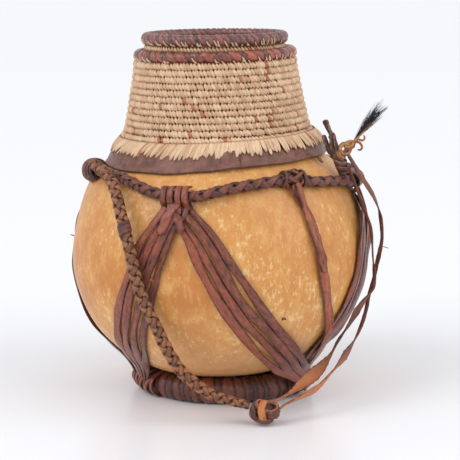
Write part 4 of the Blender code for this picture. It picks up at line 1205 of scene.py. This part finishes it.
bm = bmesh.new()
up = Vector((0, 0, 1))
for level in range(3):
    for radius, facing in ((LID_OUTER - 0.7, 1), (LID_INNER + 0.9, -1)):
        z = LID_TOP - (level + 0.5) * LID_ROW_HEIGHT
        if facing < 0 and level > 0:
            continue
        count = round(tau * radius / STITCH_PITCH)
        for number in range(count):
            azimuth = 360 * (number + 0.5 * (level % 2)) / count
            side, out = around(azimuth + 90, facing, 0), around(azimuth, facing, 0)
            tone = tone_of(dice, azimuth, z)
            sew(bm, around(azimuth, radius, z), side, up, out, LID_STITCH_WIDTH, 6.2, 1.0, STITCH_LEAN, tone)
for row in range(FLOOR_ROWS):
    radius = FLOOR_MIDDLE + FLOOR_ROW_WIDTH * row
    count = max(round(tau * radius / STITCH_PITCH), 5)
    for number in range(count):
        azimuth = 360 * (number + 0.5 * (row % 2)) / count
        side, out = around(azimuth + 90, 1, 0), around(azimuth, 1, 0)
        z = LID_FLOOR + (0.2 if radius < LID_INNER - 6 else 1.2)
        tone = tone_of(dice, azimuth, radius)
        sew(bm, around(azimuth, radius, z), side, out, up, LID_STITCH_WIDTH, 6.4, 1.1, STITCH_LEAN, tone)
make_piece("lid_stitches", bm, straw_finish, "palm_fibre", "lid_basket", place=LID_PLACE)

# Foot ring
# A thick ring of fibre wound with strips of red and olive-brown hide, dark and shiny from use and flat
# underneath. The straps are tied down on it, and their loose ends are wound round it.
FOOT_RADIUS = 64.5
FOOT_HEIGHT = 11.0
FOOT_HALF_WIDTH = 10.2
FOOT_HALF_HEIGHT = 10.8
FOOT_SLANT = 0.012
FOOT_GROOVE = 2.2
FOOT_FLAT = 0.2  # height of its flat underside
BINDING_PITCH = 3.4
BINDING_STEPS = 40
# widths and tones of its turns, over and over: broad red ones among narrow olive-brown ones
FOOT_TURNS = (8, 5, 4, 2.8, 3, 2.6, 9, 6, 5, 3, 2.6, 2.8, 3, 7, 4, 6, 2.6, 3, 5, 10, 3)
FOOT_TONES = (
    1.1, 0.5, 0.2, -0.1, 0.3, 0.0, 1.0, 0.4, 0.7, 0.1, 0.3, -0.2, 0.1, 0.9, 0.2, 0.6, 0.0, 0.3, 0.4, 1.1,
    0.0,
)
# each foot of the straps: its azimuth on the ring, how many turns bind it, and how far out the strips under
# them lie
BOUND_FEET = ((-62, 7, 5.2), (61, 7, 8.5), (-79.5, 4, 5.0), (170, 6, 5.2), (-172, 4, 5.2))

# very dark, with dull red patches and a shine, and painted shade, nearly black, in the grooves between turns
ring_finish = hide_finish(
    "dark_red_ring_hide", "#281712", "#7A3C2E", "#1C0E0B", 0.26, edge_from=1.2, wax=0.35,
)
bm = bmesh.new()
marks = mark_turns(dice, FOOT_TURNS * 3)
wind_ring(
    bm, FOOT_RADIUS, FOOT_HEIGHT, FOOT_HALF_WIDTH, FOOT_HALF_HEIGHT, marks, FOOT_SLANT, FOOT_GROOVE, 900, 32,
    FOOT_TONES, flat=FOOT_FLAT,
)
make_piece("foot_ring_turns", bm, ring_finish, "binding_leather", "foot_ring")

bm = bmesh.new()
for azimuth, count, clear in BOUND_FEET:
    for number in range(count):
        at = azimuth + (number - (count - 1) / 2) * BINDING_PITCH + dice.uniform(-1, 1)
        lean = dice.uniform(-5, 5)
        centres, outs = [], []
        for step in range(BINDING_STEPS + 1):
            angle = tau * step / BINDING_STEPS
            outer = max(cos(angle), 0.0) ** 0.7 * clear * (1.0 if number % 2 else 0.8)
            out = around(at + lean * sin(angle), cos(angle), sin(angle))
            r = FOOT_RADIUS + (FOOT_HALF_WIDTH + 0.6 + outer) * cos(angle)
            z = FOOT_HEIGHT + (FOOT_HALF_HEIGHT + 0.4) * sin(angle)
            centres.append(around(at + lean * sin(angle), r, min(max(z, 0.9), 22.0)))
            outs.append(out)
        size = (dice.uniform(3.0, 5.0), 1.7)
        lay_strand(bm, centres, outs, size, dice.uniform(0, 1), square=0.8, taper=0.0)
make_piece("foot_bindings", bm, strap_hide, "strap_leather", "foot_ring")

# Scraps
# A dry twig is caught under the straps on the left and a stiff bristle in the thong on the right. A chip of
# orange hide sticks to a strap, a grey one to the gourd, and a torn tag of the collar sticks out on the
# right.

# each scrap: name, points, width, thickness, finish and slot
SCRAPS = (
    (
        "twig", ((-125, -1, 133.2), (-129, -1, 133.6), (-133.4, -2, 135.0)), 1.1, 0.9, riser_hide,
        "strap_leather",
    ),
    (
        "bristle", ((134.5, -47, 133.0), (138, -47, 132.2), (141.5, -47, 131.0)), 0.8, 0.6, riser_hide,
        "strap_leather",
    ),
    (
        "orange_chip", ((-58.0, -117.6, 119.0), (-56.4, -119.0, 118.6), (-54.6, -119.4, 117.6)), 2.0, 1.6,
        orange_hide, "thong_hide",
    ),
    (
        "grey_chip", ((48.6, -113.9, 84.4), (50.4, -113.4, 85.2), (52.6, -112.4, 84.6)), 2.4, 1.4,
        riser_hide, "strap_leather",
    ),
    (
        "collar_tag", ((80.5, -45.5, 209.0), (83.0, -46.8, 206.0), (84.6, -48.4, 204.2)), 3.2, 1.2,
        collar_finish, "collar_leather",
    ),
)

for name, route, width, thick, finish, slot in SCRAPS:
    bm = bmesh.new()
    points, _ = evenly(smooth_through(route, 4), 0.8)
    lay_strand(
        bm, points, [over for _, _, _, over in travel(points)], (width, thick), 0.5, sides=6, taper=1.5,
    )
    make_piece(name, bm, finish, slot)

# Floor and light
# A plain white sweep, lit softly from all round, with broad lights high in front, a stronger one on the
# left and a weaker one on the right.
FLOOR_SIDE = 40.0
FLOOR_COLOUR = (0.92, 0.93, 0.965, 1.0)
ROOM_COLOUR = (0.97, 0.98, 1.0, 1.0)
ROOM_STRENGTH = 0.77

bm = bmesh.new()
bmesh.ops.create_grid(bm, x_segments=1, y_segments=1, size=FLOOR_SIDE / 2)
mesh = bpy.data.meshes.new("floor")
bm.to_mesh(mesh)
bm.free()
floor_finish, _ = new_finish("white_sweep", roughness=0.25, base_color=FLOOR_COLOUR)
mesh.materials.append(floor_finish)
floor = bpy.data.objects.new("floor", mesh)
bpy.context.scene.collection.objects.link(floor)

# each light: name, azimuth and height of its direction in degrees, strength, and how broad it is in degrees
LIGHTS = (("key", -58.0, 42.0, 1.15, 40.0), ("fill", 66.0, 34.0, 0.9, 55.0))
for name, azimuth, height, strength, breadth in LIGHTS:
    light = bpy.data.lights.new(name, "SUN")
    light.energy = strength
    light.angle = radians(breadth)
    lamp = bpy.data.objects.new(name, light)
    away = around(azimuth, 1.0, tan(radians(height)))
    lamp.rotation_euler = away.to_track_quat("Z", "Y").to_euler()
    bpy.context.scene.collection.objects.link(lamp)

world = bpy.data.worlds.new("soft_white_room")
world.use_nodes = True
world.node_tree.nodes["Background"].inputs["Color"].default_value = ROOM_COLOUR
world.node_tree.nodes["Background"].inputs["Strength"].default_value = ROOM_STRENGTH
bpy.context.scene.world = world
bpy.context.scene.view_settings.view_transform = "Standard"
